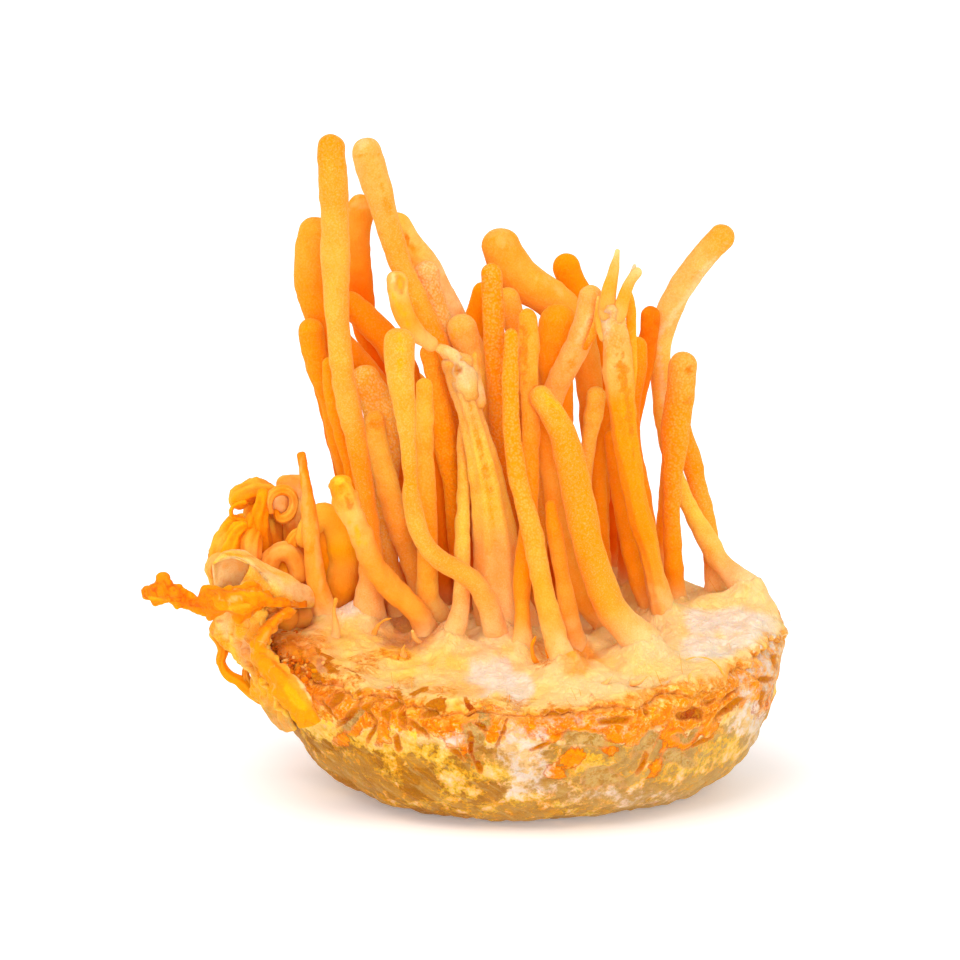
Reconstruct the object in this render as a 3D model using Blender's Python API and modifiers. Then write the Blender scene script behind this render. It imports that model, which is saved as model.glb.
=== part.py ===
"""A bunch of cultivated cordyceps on its cake of rice grain.

The cake took the shape of the bottom of the jar it grew in. About fifty club-shaped stems stand on
its top, and malformed frills and curls hang over its left edge. Lengths are in millimetres until a
point or a mesh is made, X runs to the right of the front view, Y to the back and Z up. The origin is
the middle of the cake's flat underside.
"""
import math

import bpy
import bmesh
import numpy
from mathutils import Vector
from mathutils.bvhtree import BVHTree

MM = 0.001
GAP = 0.3                       # clearance between a foot and the cake, and between neighbours

# The cake
CAKE_HALF_WIDTH = 37.5
CAKE_HALF_DEPTH = 33.5
CAKE_FRONT_DIP = 3.0            # the rim is lower in front
CAKE_RIGHT_LIFT = 1.8           # and higher on the right
CAKE_BACK_RISE = 0.07           # the top rises this much for each millimetre towards the back
CAKE_LEFT_CUT = 0.10            # the underside is cut back by this share on the left
CAKE_SEGMENTS = 36
CAKE_RINGS = 20
# radius (as a share of the half width) and height of the cake's outline, from the middle of the
# underside, round the side and back to the middle of the top
CAKE_OUTLINE = (
    (0.00, 0.0), (0.47, 0.0), (0.64, 0.6), (0.77, 2.2), (0.88, 6.4), (0.96, 13.5),
    (1.00, 19.6), (0.98, 21.6), (0.92, 22.7), (0.80, 22.4), (0.50, 21.8), (0.00, 21.5),
)

# A stem's route is given as it is seen from the front: the pixels of a square picture whose scale is
# PIXELS_PER_MM at the origin's distance, and how far back each end of the stem stands.
EYE_DISTANCE = 600.0
EYE_RISE = math.radians(10.0)
PIXELS_PER_MM = 7.0
PICTURE_MIDDLE = 480.0
AIM_X = -5.7
AIM_Z = 44.8

RINGS_AT_LEAST = 6               # a stem has one more ring for each TURN_PER_RING that it bends
RINGS_AT_MOST = 10
TURN_PER_RING = math.radians(30.0)
TIP_PLACES = (0.0, 0.35, 1.1)   # where the rings of a round tip stand, in tip radii from its end
TIP_LEAST = 0.42                # radius of a tip's end cap, as a share
THIN = 3.3                      # stems thinner than this have six sides, the others eight
FOOT_FLARE = 0.30               # how much wider a stem is where it leaves the cake
FOOT_FLARE_LENGTH = 3.0
FOOT_UPRIGHT = 1.6              # the last stretch of a stem stands upright

FRILL_COLUMNS = 13
FRILL_ROWS = 5
LOBE_RINGS = 12
TANGLE_GRAIN = 1.5              # how coarsely the lobes of the tangle melt together

PALE = (0.95, 0.50, 0.13)
ORANGE = (0.93, 0.38, 0.04)
DEEP = (0.86, 0.20, 0.01)
YELLOW = (0.95, 0.48, 0.03)
GRAIN = (0.72, 0.43, 0.14)


def clear_scene():
    for thing in list(bpy.data.objects):
        bpy.data.objects.remove(thing, do_unlink=True)


def finish_material(name, colour, roughness=0.7):
    material = bpy.data.materials.new(name)
    material.use_nodes = True
    shader = material.node_tree.nodes["Principled BSDF"]
    shader.inputs["Base Color"].default_value = (*colour, 1.0)
    shader.inputs["Roughness"].default_value = roughness
    shader.inputs["Metallic"].default_value = 0.0
    return material


def add_to_bunch(thing, name, colour):
    thing.name = name
    thing.data.materials.append(finish_material(name + "_finish", colour))
    bpy.data.collections["cordyceps_bunch"].objects.link(thing)
    return thing


def between(values, share):
    """Read a short list of values at a share from 0 to 1 along it."""
    places = numpy.linspace(0.0, 1.0, len(values))
    return float(numpy.interp(share, places, values))


def on_route(route, lengths, place):
    """The point that lies a length along a route."""
    return Vector([float(numpy.interp(place, lengths, [spot[axis] for spot in route])) for axis in range(3)])


def seen_point(pixel_x, pixel_y, depth):
    """The point in millimetres that shows at a pixel of the front view, at a depth behind the origin."""
    right = (pixel_x - PICTURE_MIDDLE) / PIXELS_PER_MM
    up = (PICTURE_MIDDLE - pixel_y) / PIXELS_PER_MM
    cos_rise = math.cos(EYE_RISE)
    sin_rise = math.sin(EYE_RISE)
    rise = up * (1.0 + depth * cos_rise / EYE_DISTANCE) - depth * sin_rise
    rise /= cos_rise + up * sin_rise / EYE_DISTANCE
    away = EYE_DISTANCE + depth * cos_rise - rise * sin_rise
    return Vector((AIM_X + right * away / EYE_DISTANCE, depth, AIM_Z + rise))


def cake_point(longitude, latitude):
    """The cake's outline, turned: latitude 0 to 1 runs from the underside's middle to the top's."""
    radius = between([spot[0] for spot in CAKE_OUTLINE], latitude)
    height = between([spot[1] for spot in CAKE_OUTLINE], latitude)
    wobble = 1.0 + 0.012 * math.sin(3.0 * longitude + 0.7) + 0.008 * math.sin(5.0 * longitude + 2.1)
    front = max(0.0, -math.sin(longitude))
    right = max(0.0, math.cos(longitude))
    low = max(0.0, 1.0 - height / 14.0)
    reach = radius * (wobble if radius > 0.5 else 1.0)
    reach *= 1.0 - CAKE_LEFT_CUT * low * max(0.0, -math.cos(longitude)) ** 2
    x = CAKE_HALF_WIDTH * reach * math.cos(longitude)
    y = CAKE_HALF_DEPTH * reach * math.sin(longitude)
    above = max(0.0, height - 13.0) / 11.0
    height += above * radius * (CAKE_RIGHT_LIFT * right ** 2 - CAKE_FRONT_DIP * front ** 1.5)
    height += above * CAKE_BACK_RISE * y
    return (x, y, height)


def make_cake():
    mesh = bpy.data.meshes.new("grain_cake")
    shape = bmesh.new()
    bmesh.ops.create_uvsphere(shape, u_segments=CAKE_SEGMENTS, v_segments=CAKE_RINGS, radius=1.0)
    for spot in shape.verts:
        latitude = 0.5 + math.asin(max(-1.0, min(1.0, spot.co.z))) / math.pi
        longitude = math.atan2(spot.co.y, spot.co.x)
        spot.co = Vector(cake_point(longitude, latitude)) * MM
    bmesh.ops.recalc_face_normals(shape, faces=shape.faces)
    shape.to_mesh(mesh)
    shape.free()
    mesh.shade_smooth()
    return add_to_bunch(bpy.data.objects.new("grain_cake", mesh), "grain_cake", GRAIN)


def cake_top_under(cake_tree, x, y, radius):
    """The highest point of the cake under a disc around x and y, in millimetres."""
    heights = []
    for turn in range(9):
        reach = 0.0 if turn == 8 else radius
        angle = turn * math.pi / 4
        side = Vector((x + reach * math.cos(angle), y + reach * math.sin(angle), 90.0))
        hit = cake_tree.ray_cast(side * MM, Vector((0.0, 0.0, -1.0)))[0]
        if hit is not None:
            heights.append(hit.z / MM)
    return max(heights)


def smooth_route(points, count_between=12):
    """Points along a smooth curve through the given ones (Catmull-Rom)."""
    ends = [points[0] * 2 - points[1], *points, points[-1] * 2 - points[-2]]
    route = []
    for before, start, stop, after in zip(ends, ends[1:], ends[2:], ends[3:]):
        for step in range(count_between):
            t = step / count_between
            route.append(0.5 * (2 * start + (stop - before) * t
                                + (2 * before - 5 * start + 4 * stop - after) * t ** 2
                                + (3 * start - before - 3 * stop + after) * t ** 3))
    route.append(points[-1])
    return route


def lengths_along(route):
    total = [0.0]
    for start, stop in zip(route, route[1:]):
        total.append(total[-1] + (stop - start).length)
    return total


def seen_route(seen, depth):
    """The smooth route in space of a line seen from the front, its depth running from end to end."""
    shares = lengths_along([Vector((x, y, 0.0)) for x, y in seen])
    points = [seen_point(x, y, between(depth, share / shares[-1])) for (x, y), share in zip(seen, shares)]
    return smooth_route(points)


def tube_object(name, stations, colour):
    """A tapered tube with filled ends through (point, radius) stations, in millimetres."""
    curve = bpy.data.curves.new(name, "CURVE")
    curve.dimensions = "3D"
    curve.bevel_depth = MM
    curve.bevel_resolution = 1 if max(radius for point, radius in stations[:-1]) * 2 < THIN else 2
    curve.use_fill_caps = True
    line = curve.splines.new("POLY")
    line.points.add(len(stations) - 1)
    for spot, (point, radius) in zip(line.points, stations):
        spot.co = (*(point * MM), 1.0)
        spot.radius = radius
    return add_to_bunch(bpy.data.objects.new(name, curve), name, colour)


def turning_along(route):
    """How far the route has turned up to each of its points, in radians."""
    total = [0.0, 0.0]
    for before, here, after in zip(route, route[1:], route[2:]):
        total.append(total[-1] + (here - before).angle(after - here, 0.0))
    return total


def stations_from(route, thick, flare=0.0, rings=None):
    """Points and radii along a route: close together at the round tip and where it bends."""
    lengths = lengths_along(route)
    turning = turning_along(route)
    full = lengths[-1]
    tip_radius = thick[0] / 2
    if rings is None:
        rings = min(RINGS_AT_LEAST + int(turning[-1] / TURN_PER_RING), RINGS_AT_MOST)
    places = [share * tip_radius for share in TIP_PLACES]
    last = full - FOOT_FLARE_LENGTH if flare else full
    need = [length / full + turn / 2.0 for length, turn in zip(lengths, turning)]
    first_need = float(numpy.interp(places[-1], lengths, need))
    last_need = float(numpy.interp(last, lengths, need))
    rest = rings - len(places) - (1 if flare else 0)
    for step in range(rest):
        wanted = first_need + (last_need - first_need) * (step + 1) / rest
        places.append(float(numpy.interp(wanted, need, lengths)))
    if flare:
        places.append(full)
    stations = []
    for place in places:
        radius = between(thick, place / full) / 2
        if place < tip_radius:
            inside = 1.0 - place / tip_radius
            radius *= max(TIP_LEAST, math.sqrt(1.0 - inside ** 2))
        radius *= 1.0 + flare * max(0.0, 1.0 - (full - place) / FOOT_FLARE_LENGTH)
        stations.append((on_route(route, lengths, place), radius))
    return stations


def make_stem(cake_tree, name, seen, depth, thick, colour=ORANGE, flare=FOOT_FLARE):
    """A club-shaped stem from its tip down to its foot on the cake.

    seen is its middle line from the front, tip first, in pixels. depth is how far back it stands and
    thick its thickness, both in millimetres and read from tip to foot.
    """
    route = seen_route(seen, depth)
    foot = route[-1]
    foot_radius = thick[-1] / 2 * (1.0 + flare)
    foot_height = cake_top_under(cake_tree, foot.x, foot.y, foot_radius) + GAP
    keep = [spot for spot in route if spot.z > foot_height + FOOT_FLARE_LENGTH]
    landing = Vector((foot.x, foot.y, foot_height))
    above = landing + Vector((0.0, 0.0, FOOT_UPRIGHT))
    bend = keep[-1].lerp(above, 0.5)
    bend.xy = 0.5 * (bend.xy + foot.xy)
    every = 6
    route = smooth_route([keep[0], *keep[every:-3:every], bend, above, landing], every)
    stations = stations_from(route, thick, flare=flare)
    stations[-2] = (above, stations[-2][1])
    stations[-1] = (landing, foot_radius)
    return tube_object(name, stations, colour)


def make_frill(name, seen, depth, width, thickness, cup, colour=YELLOW, lean=0.0):
    """A flat frill: a strip that follows a seen line, across it in the plane of the view.

    width is read along it, cup bends its two edges forward, and lean turns its upper edge back.
    """
    route = seen_route(seen, depth)
    lengths = lengths_along(route)
    full = lengths[-1]
    mesh = bpy.data.meshes.new(name)
    shape = bmesh.new()
    bmesh.ops.create_grid(shape, x_segments=FRILL_COLUMNS - 1, y_segments=FRILL_ROWS - 1, size=0.5)
    for spot in shape.verts:
        share = spot.co.x + 0.5
        across = spot.co.y * 2.0
        here = on_route(route, lengths, share * full)
        ahead = on_route(route, lengths, (share + 0.02) * full)
        behind = on_route(route, lengths, (share - 0.02) * full)
        along = (ahead - behind).normalized()
        side = Vector((-along.z, 0.0, along.x)).normalized()
        if side.z < 0.0:
            side.negate()
        half = between(width, share) / 2
        here += side * across * half
        here.y += across * lean * half - cup * half * across ** 2
        spot.co = here * MM
    bmesh.ops.recalc_face_normals(shape, faces=shape.faces)
    shape.to_mesh(mesh)
    shape.free()
    mesh.shade_smooth()
    frill = add_to_bunch(bpy.data.objects.new(name, mesh), name, colour)
    wall = frill.modifiers.new("thickness", "SOLIDIFY")
    wall.thickness = thickness * MM
    wall.offset = 0.0
    return frill


def make_tangle(name, lobes, colour=ORANGE):
    """The curled malformed bodies that grew together: tapered tubes melted into one body."""
    whole = bmesh.new()
    for seen, depth, thick in lobes:
        route = seen_route(seen, depth)
        tube = tube_object("lobe", stations_from(route, thick, rings=LOBE_RINGS), colour)
        evaluated = tube.evaluated_get(bpy.context.evaluated_depsgraph_get())
        lobe_mesh = bpy.data.meshes.new_from_object(evaluated)
        one = bmesh.new()
        one.from_mesh(lobe_mesh)
        bmesh.ops.remove_doubles(one, verts=one.verts, dist=0.00001)
        bmesh.ops.recalc_face_normals(one, faces=one.faces)
        one.to_mesh(lobe_mesh)
        one.free()
        whole.from_mesh(lobe_mesh)
        bpy.data.objects.remove(tube, do_unlink=True)
    mesh = bpy.data.meshes.new(name)
    whole.to_mesh(mesh)
    whole.free()
    tangle = add_to_bunch(bpy.data.objects.new(name, mesh), name, colour)
    melt = tangle.modifiers.new("melt", "REMESH")
    melt.mode = "VOXEL"
    melt.voxel_size = TANGLE_GRAIN * MM
    melt.use_smooth_shade = True
    return tangle


def make_stems(tree):
    """Every stem, from the left of the front view to the right."""
    # the tall ones and the big bent ones at the back left
    make_stem(tree, "stem_tall_left",
              [(329, 134), (333, 180), (335, 240), (337, 320), (343, 380), (352, 420), (361, 465),
               (369, 520), (371, 570), (367, 640)], (-9, -7, 0), (4.0, 3.9, 3.4, 2.9, 2.9, 3.0), PALE)
    make_stem(tree, "stem_tall_second",
              [(364, 138), (370, 165), (381, 200), (393, 240), (405, 275), (422, 310), (438, 345),
               (455, 400), (468, 480), (478, 620)], (3, 2, 15), (4.4, 3.2, 3.2, 3.2, 3.0), PALE)
    make_stem(tree, "stem_back_banana",
              [(322, 219), (314, 240), (312, 265), (315, 292), (325, 322), (343, 350), (366, 374),
               (386, 404), (400, 450), (410, 510), (411, 610)], (5, 9, 16, 19),
              (4.9, 5.0, 4.2, 3.2, 3.0), ORANGE)
    make_stem(tree, "stem_back_dark",
              [(361, 195), (360, 215), (357, 240), (359, 280), (364, 320), (384, 385), (412, 470),
               (431, 600)], (13, 21, 25), (3.9, 3.6, 3.4, 3.0), DEEP)
    make_stem(tree, "stem_low_left",
              [(310, 319), (312, 340), (318, 368), (329, 398), (337, 425), (346, 465), (358, 520),
               (370, 610)], (3, 8, 12), (3.4, 3.5, 3.0, 2.8), ORANGE)
    make_stem(tree, "stem_low_left_thin",
              [(320, 360), (323, 385), (330, 420), (340, 465), (350, 520), (360, 600)],
              (10, 17, 19), (2.4, 2.4, 2.4), DEEP)
    make_stem(tree, "stem_beside_tall",
              [(329, 357), (331, 385), (337, 415), (346, 450), (357, 490), (370, 550), (374, 620)],
              (-1, 2, 6), (2.2, 2.2, 2.2, 2.4), ORANGE)
    make_stem(tree, "stem_left_stub",
              [(331, 421), (336, 440), (344, 465), (355, 500), (370, 550), (387, 612)],
              (10, 13, 17), (2.4, 2.5, 2.5), PALE)
    make_stem(tree, "stem_back_slant",
              [(339, 296), (353, 307), (372, 325), (394, 352), (410, 400), (416, 480), (413, 600)],
              (12, 11, 9, 12), (3.8, 4.2, 3.2, 2.8), ORANGE)
    make_stem(tree, "stem_fat_club",
              [(357, 368), (367, 385), (379, 412), (387, 455), (389, 510), (390, 560), (400, 625)],
              (3, 5, 7), (4.6, 4.9, 3.0, 2.7, 2.8), PALE)
    make_stem(tree, "stem_round_club",
              [(376, 410), (377, 440), (387, 480), (397, 520), (408, 555), (418, 590), (426, 640)],
              (-2, 0, 5), (3.3, 3.2, 3.3, 2.8, 2.8), PALE)
    # the front ones in the middle
    make_stem(tree, "stem_front_bent",
              [(400, 328), (399, 365), (405, 410), (409, 460), (413, 505), (422, 538), (440, 560),
               (468, 576), (486, 600), (494, 628), (496, 655)], (-18, -20, -15, -8),
              (4.2, 3.6, 2.2, 2.2, 3.0, 3.0, 2.6), PALE)
    make_stem(tree, "stem_torn_front",
              [(457, 352), (460, 375), (472, 420), (484, 470), (493, 520), (497, 560), (500, 600),
               (508, 640)], (-7, -7, -4, -2), (4.2, 3.4, 4.6, 5.4, 5.4, 4.6), PALE, 0.1)
    make_stem(tree, "stem_torn_left_root",
              [(463, 405), (463, 470), (462, 530), (461, 590), (457, 630), (450, 655)],
              (-4, -5, -7, -10), (1.4, 2.0, 2.4, 2.6), PALE)
    make_stem(tree, "stem_granular_left",
              [(424, 262), (430, 285), (438, 320), (446, 370), (453, 440), (453, 520), (448, 610)],
              (5, 9, 18), (3.6, 3.7, 3.0, 2.6), PALE)
    make_stem(tree, "stem_back_long",
              [(393, 213), (408, 242), (427, 267), (440, 292), (452, 318), (468, 360), (484, 420),
               (498, 500), (508, 600)], (10, 13, 21), (3.8, 4.3, 3.6, 2.9), ORANGE)
    make_stem(tree, "stem_middle_bent",
              [(459, 315), (464, 335), (475, 362), (484, 400), (487, 460), (486, 540), (485, 630)],
              (1, 5, 6), (4.2, 3.6, 2.7, 2.5), PALE)
    make_stem(tree, "stem_behind_middle",
              [(489, 284), (480, 305), (471, 340), (464, 400), (462, 480), (471, 600)],
              (19, 20, 23), (3.4, 3.2, 2.8), DEEP)
    make_stem(tree, "stem_granular_middle",
              [(491, 263), (492, 290), (495, 340), (499, 400), (505, 470), (511, 550), (512, 630)],
              (-3, -1, 9), (3.2, 3.0, 2.6, 2.6), ORANGE)
    make_stem(tree, "stem_behind_granular",
              [(504, 288), (511, 310), (520, 350), (526, 420), (526, 500), (512, 610)],
              (8, 9, 16), (3.0, 2.9, 2.6), PALE)
    make_stem(tree, "stem_front_long",
              [(511, 328), (511, 360), (511, 410), (514, 450), (521, 490), (532, 530), (540, 570),
               (548, 610), (557, 645), (566, 680)], (-11, -14, -20), (2.4, 2.5, 2.7, 3.0, 2.5), ORANGE)
    make_stem(tree, "stem_front_right",
              [(527, 308), (529, 350), (530, 400), (531, 450), (530, 500), (525, 550), (522, 600),
               (523, 660)], (-6, -8, -11), (2.6, 2.5, 2.5, 2.5), ORANGE)
    make_stem(tree, "stem_left_inner",
              [(425, 378), (425, 410), (425, 450), (427, 500), (428, 550), (430, 600), (444, 642)],
              (-11, -10, 0), (2.4, 2.9, 3.0, 3.0), ORANGE)
    make_stem(tree, "stem_granular_inner",
              [(427, 344), (434, 370), (444, 410), (452, 450), (458, 500), (462, 560), (468, 625)],
              (-4, 1, 9), (2.6, 3.0, 2.9, 2.6), DEEP)
    make_stem(tree, "stem_dark_inner",
              [(437, 470), (441, 510), (445, 560), (444, 630)], (6, 8, 11), (2.2, 2.4, 2.4), DEEP)
    # the back and middle of the right half
    make_stem(tree, "stem_big_club",
              [(495, 229), (501, 250), (514, 271), (534, 288), (557, 304), (580, 330), (594, 380),
               (598, 480), (596, 600)], (11, 12, 18), (5.6, 5.6, 4.4, 3.8, 3.2, 3.0), ORANGE)
    make_stem(tree, "stem_back_right_club",
              [(562, 254), (571, 278), (586, 305), (602, 345), (609, 410), (610, 500), (611, 600)],
              (19, 20, 27), (3.8, 4.0, 3.2, 2.8), DEEP)
    make_stem(tree, "stem_ball_club",
              [(560, 304), (558, 325), (554, 348), (548, 380), (548, 430), (549, 510), (550, 610)],
              (4, 5, 12), (5.6, 5.8, 2.8, 2.6, 2.6), ORANGE)
    make_stem(tree, "stem_lean_right",
              [(592, 285), (589, 310), (578, 342), (563, 372), (550, 405), (542, 450), (538, 520),
               (540, 630)], (-4, 1, 4), (3.6, 3.7, 3.6, 2.7, 2.5), PALE)
    make_stem(tree, "stem_big_arc",
              [(534, 388), (547, 406), (562, 432), (571, 465), (580, 505), (589, 548), (604, 592),
               (624, 632), (642, 670)], (-9, -13, -14), (3.0, 4.3, 4.4, 4.2, 3.8), PALE)
    make_stem(tree, "stem_beside_arc",
              [(541, 412), (547, 450), (554, 500), (563, 550), (580, 595), (608, 645)],
              (-4, -5, -2), (2.6, 3.0, 3.2, 3.0), ORANGE)
    make_stem(tree, "stem_front_low",
              [(550, 500), (556, 540), (563, 580), (571, 620), (577, 655)],
              (-10, -10, -8), (2.0, 2.3, 2.4), ORANGE)
    make_stem(tree, "stem_pale_short",
              [(597, 387), (594, 410), (589, 440), (584, 480), (582, 540), (584, 620)],
              (0, 3, 7), (2.3, 2.4, 2.3, 2.3), PALE)
    make_stem(tree, "stem_right_thin",
              [(609, 398), (604, 430), (598, 470), (600, 530), (607, 630)],
              (7, 8, 12), (2.0, 2.3, 2.3), ORANGE)
    make_stem(tree, "stem_torn_tall",
              [(617, 250), (613, 275), (614, 310), (617, 360), (622, 410), (629, 460), (638, 510),
               (651, 560), (660, 605), (665, 645)], (-8, -6, -1), (1.4, 4.4, 4.0, 3.4, 3.3, 2.6, 2.4),
              ORANGE)
    make_stem(tree, "stem_beside_torn_tall",
              [(611, 430), (616, 470), (625, 520), (634, 560), (643, 600), (649, 635)],
              (2, 3, 4), (2.6, 2.8, 2.8), ORANGE)
    make_stem(tree, "stem_right_back",
              [(637, 337), (636, 370), (631, 410), (632, 450), (641, 490), (648, 530), (651, 570),
               (648, 620)], (4, 6, 15), (2.6, 2.7, 2.4, 2.3), ORANGE)
    make_stem(tree, "stem_dark_right",
              [(651, 306), (649, 335), (643, 372), (634, 410), (626, 470), (629, 600)],
              (12, 15, 21), (2.8, 2.8, 2.6), DEEP)
    make_stem(tree, "stem_far_right",
              [(732, 229), (716, 243), (697, 265), (677, 295), (664, 325), (660, 355), (661, 395),
               (665, 435), (676, 475), (692, 512), (711, 546), (728, 577), (744, 608), (748, 625)],
              (14, 15, 18, 5), (3.6, 3.5, 3.4, 2.9, 2.4, 2.6, 3.4, 3.0), PALE)
    make_stem(tree, "stem_right_front",
              [(683, 352), (682, 385), (677, 420), (673, 470), (672, 520), (674, 570), (675, 622)],
              (4, 6, 10), (4.0, 4.2, 2.9, 2.8, 2.8), ORANGE)
    make_stem(tree, "stem_right_behind",
              [(679, 410), (686, 440), (695, 475), (704, 510), (711, 545), (717, 600)],
              (23, 21, 15), (2.6, 2.9, 2.8), PALE)
    # stems that only the back and the sides show
    make_stem(tree, "stem_rear_left",
              [(412, 372), (424, 440), (440, 520), (461, 600)], (31, 31, 28), (3.4, 3.2, 2.8), ORANGE)
    make_stem(tree, "stem_rear_middle",
              [(526, 345), (530, 400), (526, 500), (528, 600)], (22, 27, 27), (3.6, 3.2, 2.8), ORANGE)
    make_stem(tree, "stem_rear_right",
              [(674, 390), (671, 450), (667, 530), (662, 600)], (26, 27, 24), (3.0, 3.0, 2.6), ORANGE)
    cup_route = seen_route([(398, 272), (397, 290), (403, 312), (414, 330), (428, 342), (437, 347)],
                           (-9, -10, -8))
    tube_object("stem_torn_cup", stations_from(cup_route, (2.9, 2.7, 2.8, 2.0), rings=8), YELLOW)


def make_left_side(tree):
    """The short stems, frills and curls of the left edge."""
    make_stem(tree, "stem_short_front",
              [(341, 476), (343, 495), (355, 520), (365, 545), (378, 570), (398, 595), (416, 612),
               (424, 640)], (-14, -13, -8, -5), (4.0, 3.6, 3.2, 3.3, 2.6), YELLOW)
    make_stem(tree, "spike_left",
              [(301, 452), (304, 470), (308, 500), (311, 535), (314, 570), (321, 605), (325, 640)],
              (-3, -2, 0), (1.3, 2.0, 2.6, 2.8, 2.6), YELLOW)
    make_stem(tree, "curl_deep",
              [(303, 548), (309, 528), (324, 517), (340, 529), (346, 556), (342, 585), (335, 625)],
              (2, 3, 6), (3.0, 3.6, 4.0, 3.8, 2.8), DEEP)
    make_frill("frill_hood",
               [(313, 594), (295, 588), (272, 583), (250, 574), (232, 571), (214, 576)],
               (-4, -7, -9), (2.8, 4.4, 4.8, 5.2, 5.0, 2.6), 0.7, 0.35, PALE)
    make_frill("frill_blade",
               [(306, 606), (280, 602), (255, 604), (228, 605), (202, 602), (180, 593), (160, 591),
                (143, 593)], (-9, -13, -14, -13), (2.0, 2.2, 3.6, 4.4, 3.6, 2.6, 3.1, 1.4), 0.8, 0.1,
               YELLOW)
    make_frill("frill_hanging",
               [(297, 614), (278, 622), (264, 642), (262, 665), (275, 688), (295, 708), (315, 716)],
               (-13, -17, -21, -26), (1.4, 1.8, 2.6, 4.4, 4.8, 3.6, 1.6), 0.8, 0.15, YELLOW)
    make_tangle("curl_tangle", (
        ([(286, 606), (268, 602), (250, 588), (238, 566), (240, 535), (258, 508), (282, 484)],
         (4, 9, 10), (4.0, 6.0, 7.0, 7.0, 5.0, 3.4)),
        ([(300, 600), (285, 560), (272, 540), (262, 528)], (6, 9), (4.0, 4.0, 4.4)),
        ([(242, 500), (252, 488), (268, 486), (285, 482), (298, 480)], (10, 12), (2.8, 3.2, 3.2, 3.4)),
        ([(228, 530), (222, 545), (222, 570), (226, 600), (232, 630)], (7, 5), (2.6, 3.0, 3.2, 3.2)),
        ([(262, 520), (272, 503), (290, 500), (298, 515), (288, 530), (270, 530)],
         (8, 9), (2.4, 2.6, 2.6, 2.4)),
        ([(292, 578), (293, 560), (282, 550), (266, 556), (256, 575)], (8, 7), (2.2, 2.4, 2.4)),
        ([(286, 604), (276, 575), (264, 545), (262, 512)], (13, 16, 17), (4.0, 5.0, 5.4, 3.6)),
        ([(262, 612), (246, 610), (234, 590), (236, 556)], (10, 15, 14), (3.6, 4.6, 5.0, 3.6)),
        ([(216, 636), (223, 650), (223, 666), (233, 680), (250, 694), (262, 706)],
         (3, 1, -2), (2.0, 2.2, 2.4, 2.0)),
        ([(228, 634), (240, 648), (252, 664), (250, 684), (258, 702)], (4, 1, -1), (3.0, 2.8, 2.6)),
    ))


clear_scene()
bunch = bpy.data.collections.new("cordyceps_bunch")
bpy.context.scene.collection.children.link(bunch)
cake = make_cake()
bpy.context.view_layer.update()
cake_tree = BVHTree.FromObject(cake, bpy.context.evaluated_depsgraph_get())
make_stems(cake_tree)
make_left_side(cake_tree)
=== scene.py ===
import math

import bpy
import numpy as np
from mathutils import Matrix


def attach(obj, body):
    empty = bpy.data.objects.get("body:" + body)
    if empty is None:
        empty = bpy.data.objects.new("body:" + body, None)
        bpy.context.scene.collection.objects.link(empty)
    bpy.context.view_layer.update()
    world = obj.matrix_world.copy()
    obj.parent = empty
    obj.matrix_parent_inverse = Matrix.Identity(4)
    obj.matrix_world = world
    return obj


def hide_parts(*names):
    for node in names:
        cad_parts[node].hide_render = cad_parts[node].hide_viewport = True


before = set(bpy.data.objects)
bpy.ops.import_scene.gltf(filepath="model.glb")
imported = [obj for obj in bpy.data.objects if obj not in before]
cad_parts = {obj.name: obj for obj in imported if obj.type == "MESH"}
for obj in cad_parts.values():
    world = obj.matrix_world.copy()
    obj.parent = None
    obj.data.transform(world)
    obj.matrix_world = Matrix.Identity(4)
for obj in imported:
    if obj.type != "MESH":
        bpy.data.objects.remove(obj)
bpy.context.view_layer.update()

# The looks of a cordyceps bunch on its cake of rice grain. Shapes are worked out in millimetres, with X to
# the right of the front view, Y to the back and Z up, and become metres when they go into a mesh.
mm = 0.001

# The front view: a pixel of a 960 x 960 picture is a seventh of a millimetre at the aim's distance.
front = {"distance": 600.0, "elevation": 10.0, "pixelsPerMm": 7.0, "middle": 480.0, "aimX": -5.7, "aimZ": 44.8}
cosRise = math.cos(math.radians(front["elevation"]))
sinRise = math.sin(math.radians(front["elevation"]))
towardsCamera = np.array([0.0, -cosRise, sinRise])

# colours as a screen shows them, 0 to 255
screenColours = {
    # the pinkish brown after milk is painted shade, for a dark hollow among the lobes
    "cream": (253, 205, 140), "milk": (236, 218, 200), "shell": (226, 158, 104), "blush": (242, 176, 116),
    "rose": (206, 123, 66), "peach": (252, 180, 93), "apricot": (252, 165, 54), "honey": (255, 198, 72),
    "orange": (250, 142, 0), "amber": (252, 143, 0), "gold": (255, 172, 4), "lemon": (255, 206, 50),
    "deep": (248, 114, 0), "rust": (200, 78, 0), "olive": (160, 98, 8), "tan": (184, 130, 48),
    "straw": (194, 157, 92),
}


def asLight(rgb):
    # a screen's share of a colour as the share of light: raised to 2.4 after a small shift
    share = np.array(rgb, float) / 255.0
    return np.where(share < 0.04045, share / 12.92, ((share + 0.055) / 1.055) ** 2.4)


colours = {name: asLight(rgb) for name, rgb in screenColours.items()}


# Numbers read along a list, smooth paths and noise, all on whole arrays

farOff = 9.0  # further than any cell or mark reaches


def between(values, share):
    # a short list of values read at shares from 0 to 1 along it
    return np.interp(share, np.linspace(0.0, 1.0, len(values)), values)


def ease(low, high, value):
    # 0 below low, 1 above high, 3t^2 - 2t^3 in between
    t = np.clip((value - low) / (high - low), 0.0, 1.0)
    return t * t * (3.0 - 2.0 * t)


def unit(vectors):
    # each vector divided by its length
    return vectors / np.maximum(np.linalg.norm(vectors, axis=-1, keepdims=True), 1e-9)


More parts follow.
